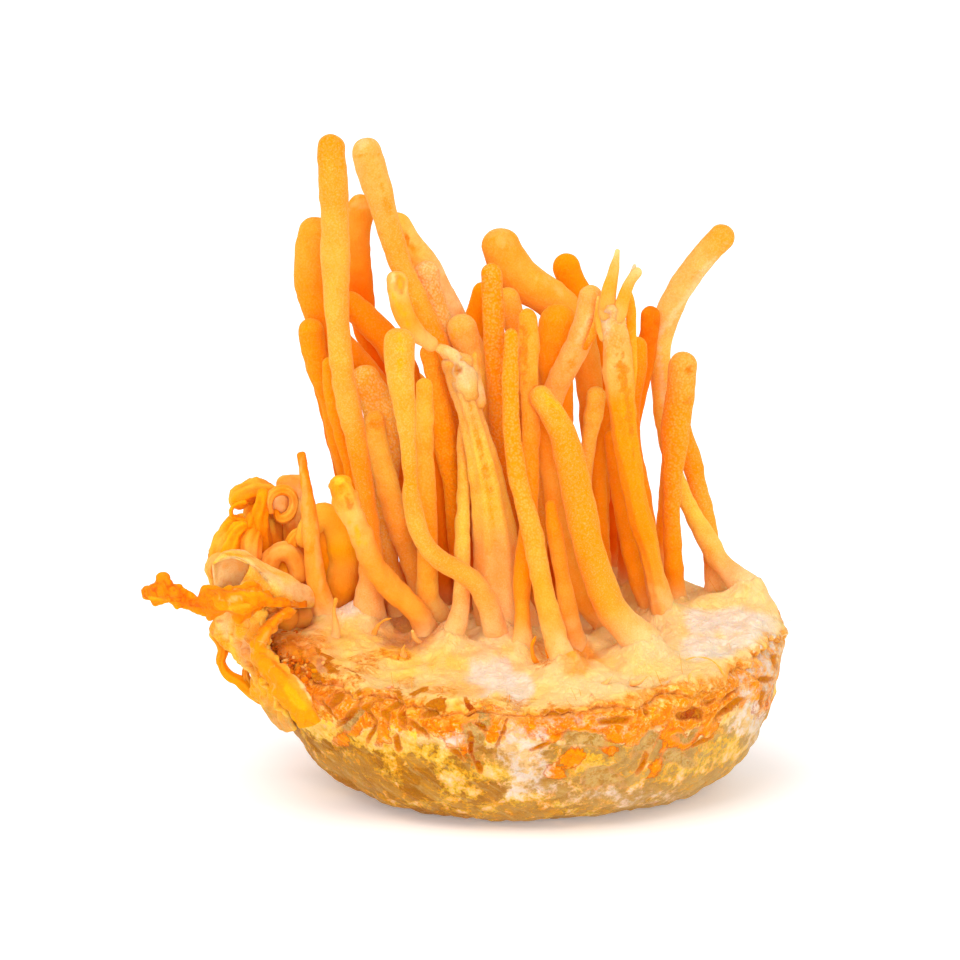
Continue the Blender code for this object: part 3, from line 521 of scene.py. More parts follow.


# The stems. seen is a stem's middle line in the front view, tip first. depth is how far back it stands and thick
# its thickness, in millimetres from tip to foot. tints run the same way, and cap is how golden its tip is.
# spots, worn, grainy and dents are ovals of the front view: pixel x and y, half sizes, turn in degrees, and a
# colour or a depth. knot says where it swells, and by how much.
# honey on the stems inside the bunch is partly their own colour and partly painted light that brightens them where
# they stand in shade; deep and rust on the stems furthest back, and at many feet, are partly their own colour and
# partly painted shade
stems = {
    "stem_tall_left": {
        "web": 3.6, "seen": [(329, 134), (333, 180), (335, 240), (337, 320), (343, 380), (352, 420), (361, 465),
            (369, 520), (371, 570), (367, 640)], "depth": (-9, -7, 0), "thick": (4, 3.9, 3.4, 2.9, 2.9, 3),
        "slot": "stem_pale", "tints": "orange apricot apricot apricot orange apricot peach", "cap": 1, "fleck": 0.4,
        "flare": 1.5, "flareLength": 5,
        "spots": ((329, 144, 15, 15, 0, "amber"), (338, 168, 8, 14, 0, "amber"), (322, 165, 4, 12, 0, "amber"))},
    "stem_tall_second": {
        "seen": [(364, 138), (370, 165), (381, 200), (393, 240), (405, 275), (422, 310), (438, 345), (455, 400),
            (468, 480), (478, 620)], "depth": (3, 2, 15), "thick": (4.4, 3.2, 3.2, 3.2, 3), "slot": "stem_pale",
        "tints": "peach apricot orange orange apricot apricot", "fleck": 0.5, "cap": 0,
        "spots": ((366, 155, 12, 2.4, -5, "orange"), (386, 200, 3, 26, -18, "amber"), (366, 143, 12, 8, 0, "cream"))},
    "stem_back_banana": {
        "seen": [(322, 219), (314, 240), (312, 265), (315, 292), (325, 322), (343, 350), (366, 374), (386, 404),
            (400, 450), (410, 510), (411, 610)], "depth": (5, 9, 16, 19), "thick": (4.9, 5, 4.2, 3.2, 3),
        "tints": "apricot orange orange orange orange deep", "fleck": 0.5, "pebble": 0.3},
    "stem_back_dark": {
        "seen": [(361, 195), (360, 215), (357, 240), (359, 280), (364, 320), (384, 385), (412, 470), (431, 600)],
        "depth": (13, 21, 25), "thick": (3.9, 3.6, 3.4, 3), "slot": "stem_deep",
        "tints": "apricot deep deep deep deep", "spots": ((360, 203, 14, 9, 0, "peach"),)},
    "stem_low_left": {
        "seen": [(310, 319), (312, 340), (318, 368), (329, 398), (337, 425), (346, 465), (358, 520), (370, 610)],
        "depth": (3, 8, 12), "thick": (3.4, 3.5, 3, 2.8), "tints": "orange orange orange orange deep", "fleck": 0.6,
        "cap": 0.4},
    "stem_low_left_thin": {
        "seen": [(320, 360), (323, 385), (330, 420), (340, 465), (350, 520), (360, 600)], "depth": (10, 17, 19),
        "thick": (2.4, 2.4, 2.4), "slot": "stem_deep", "tints": "orange deep deep deep"},
    "stem_beside_tall": {
        "seen": [(329, 357), (331, 385), (337, 415), (346, 450), (357, 490), (370, 550), (374, 620)],
        "depth": (-1, 2, 6), "thick": (2.2, 2.2, 2.2, 2.4), "tints": "amber orange orange orange", "cap": 0.7},
    "stem_left_stub": {
        "seen": [(331, 421), (336, 440), (344, 465), (355, 500), (370, 550), (387, 612)], "depth": (10, 13, 17),
        "thick": (2.4, 2.5, 2.5), "slot": "stem_pale", "tints": "apricot orange orange deep"},
    "stem_back_slant": {
        "seen": [(339, 296), (353, 307), (372, 325), (394, 352), (410, 400), (416, 480), (413, 600)],
        "depth": (12, 11, 9, 12), "thick": (3.8, 4.2, 3.2, 2.8), "tints": "orange orange orange deep deep",
        "fleck": 0.5},
    "stem_fat_club": {
        "seen": [(357, 368), (367, 385), (379, 412), (385, 455), (385, 510), (388, 560), (400, 625)],
        "depth": (3, 5, 7), "thick": (4.6, 4.9, 3.6, 3, 2.8), "slot": "stem_pale",
        "tints": "honey honey honey apricot orange", "pebble": 0.9},
    "stem_round_club": {
        "web": 3.6, "seen": [(376, 410), (377, 440), (387, 480), (397, 520), (408, 555), (418, 590), (426, 640)],
        "depth": (-2, 0, 5), "thick": (3.3, 3.2, 3.3, 2.8, 2.8), "slot": "stem_pale",
        "tints": "honey honey apricot apricot peach", "cap": 0.6, "flare": 0.9,
        "spots": ((378, 424, 9, 7, 0, "amber"),)},
    "stem_front_bent": {
        "web": 3.6, "seen": [(400, 328), (399, 365), (405, 410), (409, 460), (413, 505), (422, 538), (440, 560),
            (468, 576), (486, 600), (494, 628), (496, 655)], "depth": (-18, -20, -15, -8),
        "thick": (4.2, 3.6, 2.2, 2.2, 3, 3, 2.6), "slot": "stem_pale",
        "tints": "apricot apricot orange apricot apricot peach cream", "fleck": 0.5, "flare": 1.2,
        "spots": ((401, 352, 6, 22, 0, "gold"), (398, 420, 4, 40, -6, "apricot"))},
    "stem_torn_front": {
        "web": 3.6,
        "seen": [(457, 352), (460, 375), (472, 420), (484, 470), (493, 520), (497, 560), (500, 600), (508, 640)],
        "depth": (-7, -7, -4, -2), "thick": (4.2, 3.4, 4.6, 5.4, 5.4, 4.6), "slot": "stem_pale",
        "tints": "peach peach honey honey peach peach peach", "knot": (0, 0.14, 0.7), "ribs": 0.26, "flare": 1.3,
        "flareLength": 7, "dents": ((460, 371, 5, 4.5, 0, 0.8), (470, 384, 4, 7, 20, 0.5)),
        "spots": ((460, 371, 6, 5, 0, "deep"), (490, 505, 4, 36, -8, "gold"), (448, 358, 9, 7, 0, "cream"),
            (481, 450, 3, 40, -12, "amber"), (500, 560, 5, 40, 0, "peach"))},
    "stem_torn_left_root": {
        "web": 3.6, "seen": [(463, 405), (463, 470), (462, 530), (461, 590), (457, 630), (450, 655)],
        "depth": (-4, -5, -7, -10), "thick": (1.4, 2, 2.4, 2.6), "slot": "stem_pale",
        "tints": "peach honey honey peach cream", "flare": 0.9},
    "stem_granular_left": {
        "seen": [(424, 262), (430, 285), (438, 320), (446, 370), (453, 440), (453, 520), (448, 610)],
        "depth": (5, 9, 18), "thick": (3.6, 3.7, 3, 2.6), "slot": "stem_pale",
        "tints": "cream honey honey apricot orange", "pebble": 1, "cap": 0.2},
    "stem_back_long": {
        "seen": [(393, 213), (408, 242), (427, 267), (440, 292), (452, 318), (468, 360), (484, 420), (498, 500),
            (508, 600)], "depth": (10, 13, 21), "thick": (3.8, 4.3, 3.6, 2.9),
        "tints": "honey cream cream honey apricot deep",
        "spots": ((401, 232, 4, 22, -38, "deep"), (411, 246, 5, 9, -30, "amber"))},
    "stem_middle_bent": {
        "seen": [(459, 315), (464, 335), (475, 362), (484, 400), (487, 460), (486, 540), (485, 630)],
        "depth": (1, 5, 6), "thick": (4.2, 3.6, 2.7, 2.5), "slot": "stem_pale",
        "tints": "peach honey apricot orange orange", "spots": ((454, 336, 9, 10, 0, "gold"),)},
    "stem_behind_middle": {
        "seen": [(489, 284), (480, 305), (471, 340), (464, 400), (462, 480), (471, 600)], "depth": (19, 20, 23),
        "thick": (3.4, 3.2, 2.8), "slot": "stem_deep", "tints": "orange orange deep deep"},
    "stem_granular_middle": {
        "seen": [(491, 263), (492, 290), (495, 340), (499, 400), (505, 470), (511, 550), (512, 630)],
        "depth": (-3, -1, 9), "thick": (3.2, 3, 2.6, 2.6), "tints": "orange orange orange orange deep", "pebble": 1,
        "cap": 0.5, "fleck": 0.6},
    "stem_behind_granular": {
        "seen": [(504, 288), (511, 310), (520, 350), (526, 420), (526, 500), (512, 610)], "depth": (8, 9, 16),
        "thick": (3, 2.9, 2.6), "slot": "stem_pale", "tints": "apricot apricot orange orange deep"},
    "stem_front_long": {
        "web": 3.6, "seen": [(511, 328), (511, 360), (511, 410), (514, 450), (521, 490), (532, 530), (540, 570),
            (548, 610), (557, 645), (566, 680)], "depth": (-11, -14, -20), "thick": (2.4, 2.5, 2.7, 3, 2.5),
        "tints": "amber orange orange apricot apricot peach", "pebble": 0.8, "cap": 0.7, "fleck": 0.4, "flare": 1.1},
    "stem_front_right": {
        "seen": [(527, 308), (529, 350), (530, 400), (531, 450), (530, 500), (525, 550), (522, 600), (523, 660)],
        "depth": (-6, -8, -11), "thick": (2.6, 2.5, 2.5, 2.5), "tints": "apricot apricot orange orange apricot",
        "cap": 0.5, "pebble": 0.4, "spots": ((524, 345, 4, 30, 0, "deep"),)},
    "stem_left_inner": {
        "web": 3.6, "seen": [(425, 378), (425, 410), (425, 450), (427, 500), (428, 550), (430, 600), (444, 642)],
        "depth": (-11, -10, 0), "thick": (2.4, 2.9, 3, 3), "tints": "honey apricot orange honey peach", "pebble": 0.5,
        "flare": 0.9},
    "stem_granular_inner": {
        "seen": [(427, 344), (433, 370), (441, 410), (447, 450), (455, 500), (462, 560), (468, 625)],
        "depth": (-4, 1, 9), "thick": (2.6, 3.2, 3.1, 2.6), "slot": "stem_deep",
        "tints": "apricot orange orange deep deep", "pebble": 1},
    "stem_dark_inner": {
        "seen": [(437, 448), (440, 500), (445, 560), (444, 630)], "depth": (6, 8, 11), "thick": (2.2, 2.4, 2.4),
        "slot": "stem_deep", "tints": "deep deep deep"},
    "stem_big_club": {
        "seen": [(495, 229), (501, 250), (514, 271), (534, 288), (557, 304), (577, 332), (588, 375), (593, 420),
            (598, 480), (596, 600)], "depth": (11, 12, 18), "thick": (5.6, 5.6, 4.4, 3.8, 3.2, 3),
        "tints": "apricot apricot apricot orange deep deep", "fleck": 0.35,
        # the peach ovals on its tip and along its upper side are painted highlight, where light falls on the club's
        # top
        "spots": ((500, 236, 16, 9, 30, "peach"), (545, 282, 20, 5, 32, "peach"))},
    "stem_back_right_club": {
        "seen": [(562, 254), (571, 278), (586, 305), (602, 345), (609, 410), (610, 500), (611, 600)],
        "depth": (19, 20, 27), "thick": (3.8, 4, 3.2, 2.8), "slot": "stem_deep", "tints": "orange orange deep deep",
        "fleck": 0.5},
    "stem_ball_club": {
        "seen": [(560, 304), (558, 325), (556, 348), (557, 380), (561, 430), (557, 510), (552, 610)],
        "depth": (4, 5, 12), "thick": (5.2, 5.8, 4.7, 3.6, 2.8, 2.6, 2.6, 2.6, 2.6),
        "tints": "orange amber orange deep deep", "fleck": 0.2},
    "stem_lean_right": {
        "seen": [(592, 285), (589, 310), (578, 342), (563, 372), (550, 405), (542, 450), (538, 520), (540, 630)],
        "depth": (-4, 1, 4), "thick": (3.6, 3.7, 3.6, 2.7, 2.5), "slot": "stem_pale",
        "tints": "peach peach apricot apricot orange orange", "worn": ((594, 322, 4, 24, 25),),
        "spots": ((595, 318, 3, 26, 22, "deep"), (573, 362, 4, 10, 30, "amber"), (583, 330, 4, 20, 25, "cream"))},
    "stem_big_arc": {
        "web": 3, "seen": [(534, 388), (547, 406), (562, 432), (571, 465), (580, 505), (589, 548), (604, 592),
            (624, 632), (642, 670)], "depth": (-9, -13, -14), "thick": (3, 4.3, 4.4, 4.2, 3.8), "slot": "stem_pale",
        "tints": "apricot orange orange orange apricot peach", "flare": 0.8, "flareLength": 5, "fleck": 0.2,
        "spots": ((553, 404, 18, 6, 48, "gold"), (557, 414, 10, 4, 50, "amber"))},
    "stem_beside_arc": {
        "seen": [(541, 412), (547, 450), (554, 500), (563, 550), (580, 595), (608, 645)], "depth": (-4, -5, -2),
        "thick": (2.6, 3, 3.2, 3), "tints": "orange apricot apricot apricot peach", "flare": 0.8},
    "stem_front_low": {
        "web": 2.8, "seen": [(550, 500), (556, 540), (563, 580), (571, 620), (577, 655)], "depth": (-10, -10, -8),
        "thick": (2, 2.3, 2.4), "tints": "orange apricot peach", "flare": 0.8},
    "stem_pale_short": {
        "seen": [(597, 387), (594, 410), (589, 440), (584, 480), (582, 540), (584, 620)], "depth": (0, 3, 7),
        "thick": (2.3, 2.4, 2.3, 2.3), "slot": "stem_pale", "tints": "honey apricot orange orange"},
    "stem_right_thin": {
        "seen": [(609, 398), (604, 430), (598, 470), (600, 530), (607, 630)], "depth": (7, 8, 12),
        "thick": (2, 2.3, 2.3), "tints": "orange orange deep"},
    "stem_torn_tall": {
        "web": 3.6, "seen": [(612, 300), (613, 315), (617, 360), (622, 410), (629, 460), (638, 510), (651, 560),
            (660, 605), (665, 645)], "depth": (-8, -6, -1),
        "thick": (2.6, 4.2, 4.1, 3.8, 3.5, 3.4, 3.3, 3, 2.6, 2.5, 2.4), "lump": 0.22,
        "tints": "cream peach amber amber orange orange apricot peach", "fleck": 0.6, "ribs": 0.1, "flare": 1,
        "knot": (0, 0.16, 0.45), "worn": ((622, 374, 5, 26, -8),), "grainy": ((613, 332, 16, 30, 0),),
        "spots": ((612, 325, 18, 34, 0, "cream"), (607, 318, 5, 20, 0, "milk"), (617, 342, 9, 12, 0, "blush"),
            (622, 376, 4, 22, -8, "deep"), (627, 400, 3, 60, -6, "deep"))},
    "stem_beside_torn_tall": {
        "seen": [(611, 430), (616, 470), (625, 520), (634, 560), (643, 600), (649, 635)], "depth": (2, 3, 4),
        "thick": (2.6, 2.8, 2.8), "tints": "orange orange orange apricot", "flare": 0.7},
    "stem_right_back": {
        "seen": [(637, 337), (636, 370), (631, 410), (632, 450), (641, 490), (648, 530), (651, 570), (648, 620)],
        "depth": (4, 6, 15), "thick": (2.6, 2.7, 2.4, 2.3), "tints": "orange deep orange orange", "fleck": 0.5},
    "stem_dark_right": {
        "seen": [(651, 306), (649, 335), (643, 372), (634, 410), (626, 470), (629, 600)], "depth": (12, 15, 21),
        "thick": (2.8, 2.8, 2.6), "slot": "stem_deep", "tints": "rust deep deep deep", "fleck": 0.4},
    "stem_far_right": {
        "web": 3.6, "seen": [(732, 229), (716, 243), (697, 265), (677, 295), (664, 325), (660, 355), (661, 395),
            (665, 435), (676, 475), (692, 512), (711, 546), (728, 577), (744, 608), (748, 625)],
        "depth": (14, 15, 18, 5), "thick": (3.6, 3.5, 3.4, 2.9, 2.4, 2.6, 3.4, 3), "slot": "stem_pale",
        "tints": "apricot peach peach honey honey honey peach cream", "cap": 0.4, "flare": 1,
        "spots": ((684, 300, 4, 60, 36, "cream"), (662, 380, 3, 60, -4, "cream"))},
    "stem_right_front": {
        "seen": [(683, 352), (682, 385), (677, 420), (673, 470), (672, 520), (674, 570), (675, 622)],
        "depth": (4, 6, 10), "thick": (4, 4.2, 2.9, 2.8, 2.8), "tints": "peach orange orange orange orange apricot",
        "pebble": 0.8, "fleck": 0.5, "cap": 0.2, "spots": ((684, 362, 14, 14, 0, "peach"),
            (691, 369, 5, 7, 0, "deep"), (689, 370, 3, 4, 0, "rust"), (688, 401, 4, 4, 0, "deep"))},
    "stem_right_behind": {
        "seen": [(679, 410), (686, 440), (695, 475), (704, 510), (711, 545), (717, 600)], "depth": (23, 21, 15),
        "thick": (2.6, 2.9, 2.8), "slot": "stem_pale", "tints": "orange orange apricot peach"},
    "stem_rear_left": {
        "seen": [(412, 372), (424, 440), (440, 520), (461, 600)], "depth": (31, 31, 28), "thick": (3.4, 3.2, 2.8),
        "tints": "apricot apricot orange orange", "pebble": 0.5, "cap": 0.5},
    "stem_rear_middle": {
        "seen": [(526, 345), (530, 400), (526, 500), (528, 600)], "depth": (22, 27, 27), "thick": (3.6, 3.2, 2.8),
        "tints": "apricot orange apricot orange", "fleck": 0.5},
    "stem_rear_right": {
        "seen": [(674, 390), (671, 450), (667, 530), (662, 600)], "depth": (26, 27, 24), "thick": (3, 3, 2.6),
        "tints": "apricot apricot orange orange", "cap": 0.6},
    "stem_short_front": {
        "seen": [(341, 476), (343, 495), (355, 520), (365, 545), (378, 570), (398, 595), (416, 612), (424, 640)],
        "depth": (-14, -13, -8, -5), "thick": (4, 3.6, 3.2, 3.3, 2.6), "slot": "frill",
        "tints": "gold peach apricot apricot apricot peach", "knot": (0, 0.35, 0.5), "lump": 0.25,
        "dents": ((343, 488, 5, 7, 0, 0.5), (352, 506, 3, 8, -20, 0.4)),
        "spots": ((334, 488, 6, 12, 0, "amber"), (358, 535, 6, 14, -25, "gold"), (344, 487, 5, 6, 0, "amber"),
            (348, 500, 4, 10, -20, "deep"), (340, 480, 7, 4, 0, "lemon")), "flare": 0.5},
    "spike_left": {
        "seen": [(301, 452), (304, 470), (308, 500), (311, 535), (314, 570), (321, 605), (325, 640)],
        "depth": (-3, -2, 0), "thick": (0.9, 1.7, 2.3, 2.6, 2.7, 2.6), "slot": "frill",
        "tints": "deep amber apricot apricot apricot peach", "fleck": 0.5, "knot": (0, 0.8, 0.16), "flare": 1,
        "spots": ((310, 552, 4, 12, 20, "amber"), (305, 505, 4, 40, -4, "peach"), (319, 560, 4, 40, -4, "peach"),
            (309, 480, 2.5, 20, -8, "orange"))},
    "stem_torn_cup": {
        "seen": [(398, 271), (397, 290), (403, 312), (414, 330), (428, 342), (437, 347)], "depth": (-9, -10, -8),
        "thick": (2.9, 2.8, 2.7, 2.4, 2), "slot": "frill", "tints": "peach peach apricot apricot peach peach",
        "rooted": False, "lump": 0.22, "dents": ((400, 284, 6.5, 12, -10, 1.2),),
        "spots": ((400, 284, 5, 10, -10, "gold"), (401, 292, 4, 4, 0, "deep"), (402, 312, 4, 22, -28, "gold"),
            (393, 278, 4, 8, 0, "cream"))},
    "curl_deep": {
        "seen": [(303, 548), (309, 528), (324, 517), (340, 529), (346, 556), (342, 585), (335, 625)],
        "depth": (2, 3, 6), "thick": (3, 4, 4.8, 5, 4.4, 3), "slot": "stem_deep",
        "tints": "honey honey gold apricot orange rose", "lump": 0.2},
}
# what a stem has where its own entry says nothing. flare widens its foot, web is how high the felt climbs it,
# upright and sink are where its foot's straight end begins and stops, above and below the felt
stemNormal = {"slot": "stem_orange", "flare": 0.55, "flareLength": 3.4, "cap": 0.3, "fleck": 0.3, "pebble": 0.2,
              "lump": 0.17, "web": 2.0, "upright": 1.6, "sink": 1.1, "rooted": True, "flat": 1.0}
# shreds and torn lips, each part of the stem that is named first
shreds = {
    "stem_torn_tall": (
        {"seen": [(618, 249), (616, 262), (612, 278), (608, 298), (607, 322)], "depth": (-9, -8.5, -8.6),
         "thick": (0.5, 1.2, 1.6, 2, 2.6, 2.4), "flat": 0.6, "tints": "cream peach apricot peach peach",
         "lump": 0.12},
        {"seen": [(640, 268), (632, 279), (626, 291), (621, 305), (616, 324)], "depth": (-9.4, -9, -8.6),
         "thick": (1.6, 1.6, 1.6, 1.9, 2.4, 2), "flat": 0.6, "tints": "cream peach apricot peach peach",
         "lump": 0.12},
        {"seen": [(635, 264), (633, 272), (630, 284)], "depth": (-9, -8.8), "thick": (0.4, 0.9, 0.9), "flat": 0.6,
         "tints": "milk cream peach", "lump": 0.1},
        {"seen": [(624, 284), (629, 296), (631, 320), (632, 360), (629, 402)], "depth": (-7, -7.2),
         "thick": (0.7, 1.5, 1.6, 1.4, 0.8), "flat": 0.5, "tints": "apricot orange apricot orange", "lump": 0.12},
        {"seen": [(599, 296), (600, 310), (602, 324), (605, 342)], "depth": (-7.6, -7.8),
         "thick": (0.5, 1.2, 1.8, 1.4), "flat": 0.6, "tints": "peach apricot peach", "lump": 0.15}),
    "stem_lean_right": (
        {"seen": [(600, 300), (598, 318), (592, 335), (584, 350)], "depth": (-5.4, -4.8),
         "thick": (0.7, 1.2, 1.2, 0.6), "flat": 0.5, "tints": "peach apricot deep", "lump": 0.15},),
    "stem_torn_front": (
        {"seen": [(434, 346), (444, 351), (455, 360), (464, 378), (471, 402)], "depth": (-8.4, -8, -7.2),
         "thick": (1.5, 2.2, 3.2, 3.6, 3), "tints": "peach cream cream peach apricot", "lump": 0.4,
         "dents": ((459, 370, 5, 4.5, 0, 1), (447, 360, 4, 3, 30, 0.5)),
         "spots": ((459, 370, 6, 5, 0, "deep"), (449, 352, 8, 4, 20, "cream"), (466, 384, 3, 9, -30, "cream"))},
        {"seen": [(476, 352), (473, 364), (475, 386), (480, 410)], "depth": (-6.9, -6.7), "thick": (1, 1.8, 2.2, 1.8),
         "tints": "apricot peach cream apricot", "lump": 0.35}),
    "curl_deep": (
        {"seen": [(318, 521), (325, 540), (327, 565), (331, 600)], "depth": (4, 6), "thick": (2.8, 4.8, 4.6, 3.4),
         "tints": "apricot amber orange deep", "lump": 0.2},
        {"seen": [(322, 560), (328, 556), (335, 561), (338, 575), (334, 590)], "depth": (3.5, 4),
         "thick": (1.2, 1.6, 1.4), "tints": "apricot peach apricot", "lump": 0.1}),
}
feet = []  # x, y, radius, and how high the felt climbs


def landedPath(spec):
    # the seen path down to where it nears the crust, then a bend to an upright end sunk in the crust
    path = seenPath(spec["seen"], spec["depth"])
    footX, footY = path[-1, :2]
    ground = float(crustTop(np.array(footX), np.array(footY)))
    above = path[path[:, 2] > ground + 3.0]
    high = np.array([footX, footY, ground + spec["upright"]])
    bend = (above[-1] + high) / 2
    bend[:2] = (bend[:2] + path[-1, :2]) / 2
    low = np.array([footX, footY, ground - spec["sink"]])
    return smoothPath(np.vstack([above[:1], above[6:-3:6], bend, high, low]))


def tintAlong(names, share, points, seed, sway=0.05, size=5.0):
    # named colours read at shares that waver with noise
    waver = share + sway * noise(points, size, seed)
    table = np.array([colours[name] for name in names.split()])
    return np.stack([between(table[:, k], waver) for k in range(3)], axis=-1)


def paint(tint, mask, name):
    # moved towards a named colour by the mask
    return tint + mask[..., None] * (colours[name] - tint)


def marks(points, facing, spots, waver):
    # the sum of all spots' blots
    return sum((blot(points, facing, spot, waver) for spot in spots), 0.0 * facing)


def stemSurface(spec, seed):
    # a tube pushed along its ring by noise, ribs as sines round it, noise at a knot, and roots as sines at the
    # foot; dents press it away from the camera
    path = landedPath(spec) if spec["rooted"] else seenPath(spec["seen"], spec["depth"])
    tube = carriedTube(path, spec["thick"], flare=spec["flare"] * spec["rooted"],
                       flareLength=spec["flareLength"], flat=spec["flat"], blunt=spec["rooted"])
    points, share, turn = tube["points"], tube["share"], tube["turn"]
    push = spec["lump"] * (noise(points, 5.5, seed) + 0.7 * noise(points, 1.8, seed + 9, 2))
    if "ribs" in spec:
        wander = 2.0 * noise(np.stack([tube["place"], 0 * share, 0 * share], -1), 14.0, seed + 1)
        push = push + spec["ribs"] * np.sin(7.0 * turn + wander) * ease(0.02, 0.2, share)
    if "knot" in spec:
        start, stop, height = spec["knot"]
        push = push + height * noise(points, 1.5, seed + 2, 2) * ease(stop, start, share)
    footward = np.exp(-tube["left"] / 2.6) * spec["rooted"]
    push = push + 0.32 * footward * np.sin(5.0 * turn + seed) * noise(points, 4.0, seed + 3)
    points = points + push[..., None] * tube["ring"]
    for *spot, deep in spec.get("dents", ()):
        dent = blot(points, gridNormals(points) @ towardsCamera, spot)
        points = points - (deep * dent)[..., None] * towardsCamera
    facing = gridNormals(points) @ towardsCamera
    # its colour: tints along it, a golden tip, spots, and felt at the foot
    tint = tintAlong(spec["tints"], share, points, seed)
    waver = 0.35 * noise(points, 1.5, seed + 7, 2) + 0.4 * noise(points, 0.6, seed + 8)
    golden = spec["cap"] * ease(4.4, 1.6, tube["place"] + 2.6 * noise(points, 1.5, seed + 4, 3))
    tint = paint(tint, 0.9 * golden, "amber")
    worn = marks(points, facing, spec.get("worn", ()), waver)
    for *spot, name in spec.get("spots", ()):
        mark = blot(points, facing, spot, waver)
        tint = paint(tint, (0.5 if name == "deep" else 0.85) * mark, name)
        worn = worn + (name == "deep") * mark
    felted = ease(3.6 * spec["web"], 0.9 * spec["web"], tube["left"]) * spec["rooted"]
    tint = paint(tint, 0.7 * felted, "cream") * (1.0 + 0.07 * noise(points, 2.4, seed + 5, 2))[..., None]
    pebble = spec["pebble"] * ease(0.9, 0.45, share) + marks(points, facing, spec.get("grainy", ()), waver)
    fleck = spec["fleck"] * (0.6 + 0.5 * noise(points, 7.0, seed + 6)) + 0.6 * golden
    return fleshGrid(points, tint, fleck, pebble, worn)


def camelName(node):
    # stem_tall_left becomes stemTallLeft
    first, *rest = node.split("_")
    return first + "".join(word.capitalize() for word in rest)


for number, (node, spec) in enumerate(stems.items()):
    spec = {**stemNormal, **spec}
    surfaces = [stemSurface(spec, 20 + 11 * number)]
    for place, shred in enumerate(shreds.get(node, ())):
        shred = {**stemNormal, **shred, "rooted": False, "cap": 0.0}
        surfaces.append(stemSurface(shred, 700 + 31 * number + 5 * place))
    if spec["rooted"]:
        footX, footY = seenPath(spec["seen"], spec["depth"])[-1, :2]
        feet.append((footX, footY, spec["thick"][-1] / 2 * (1.0 + spec["flare"] * 0.75), spec["web"]))
    makePiece(camelName(node), surfaces, flesh[spec["slot"]], spec["slot"], node)
print("stems grown:", len(stems))


# The cake's skin: felt over the top and the rim, an orange band with torn slots below it, and grain further
# down. Felt and side are two surfaces with one material, and share the fields that place its marks.
crust = {
    "columns": 560, "topRows": 80, "overRows": 44, "lipThickness": (0.15, 0.75), "webReach": 0.2, "tallestWeb": 4.6,
    # how far out its tucked-in rows stand, and the heights of its lumps, fine lumps (and how much more of them
    # over the rim) and flaps
    "tucked": (-0.45, -0.8), "lumps": 0.16, "fineLumps": (0.07, 0.1), "flaps": 0.6,
    # where its lower edge shows in the front view
    "edgeSeen": ((262, 640), (285, 648), (300, 640), (318, 652), (345, 690), (372, 700), (400, 690), (430, 701),
        (470, 694), (500, 704), (520, 712), (545, 704), (570, 708), (600, 704), (640, 708), (662, 696), (690, 694),
        (720, 690), (740, 672), (760, 660), (778, 640)), "edgeBehind": 4.2, "teeth": 1.3, "fineTeeth": 0.5,
    # marks on it: pixel x and y, half sizes, turn and colour, and where it is worn
    # the rose ovals at (408, 628) and (303, 620) and the orange one at (577, 660) are painted shade in the felt's
    # hollows there
    "spots": ((408, 628, 40, 34, 0, "rose"), (303, 620, 18, 13, 0, "rose"), (490, 676, 26, 26, 0, "milk"),
        (484, 640, 20, 26, 0, "cream"), (738, 624, 44, 24, 0, "milk"), (705, 646, 36, 16, 0, "milk"),
        (664, 640, 22, 30, 0, "cream"), (345, 606, 20, 20, 0, "milk"), (705, 622, 24, 20, 0, "milk"),
        (520, 690, 18, 18, 0, "milk"), (300, 660, 34, 24, 30, "rust"), (295, 645, 26, 12, 20, "orange"),
        (330, 652, 12, 10, 0, "peach"), (455, 690, 40, 9, 0, "peach"), (620, 684, 70, 14, 0, "cream"),
        (396, 654, 26, 8, 10, "gold"), (660, 690, 40, 8, -14, "peach"), (278, 655, 12, 9, 30, "olive"),
        (577, 660, 25, 22, 0, "orange"), (660, 702, 28, 8, -18, "gold"), (322, 640, 30, 8, -5, "peach")),
    "worn": ((368, 662, 20, 18, 0), (410, 682, 12, 10, 0), (448, 691, 22, 8, 0), (345, 676, 22, 12, 30),
        (300, 646, 40, 22, 0), (660, 692, 44, 12, -14), (545, 655, 14, 18, 0), (500, 704, 40, 9, 0),
        (716, 690, 30, 10, -30), (395, 655, 26, 6, 10)),
}
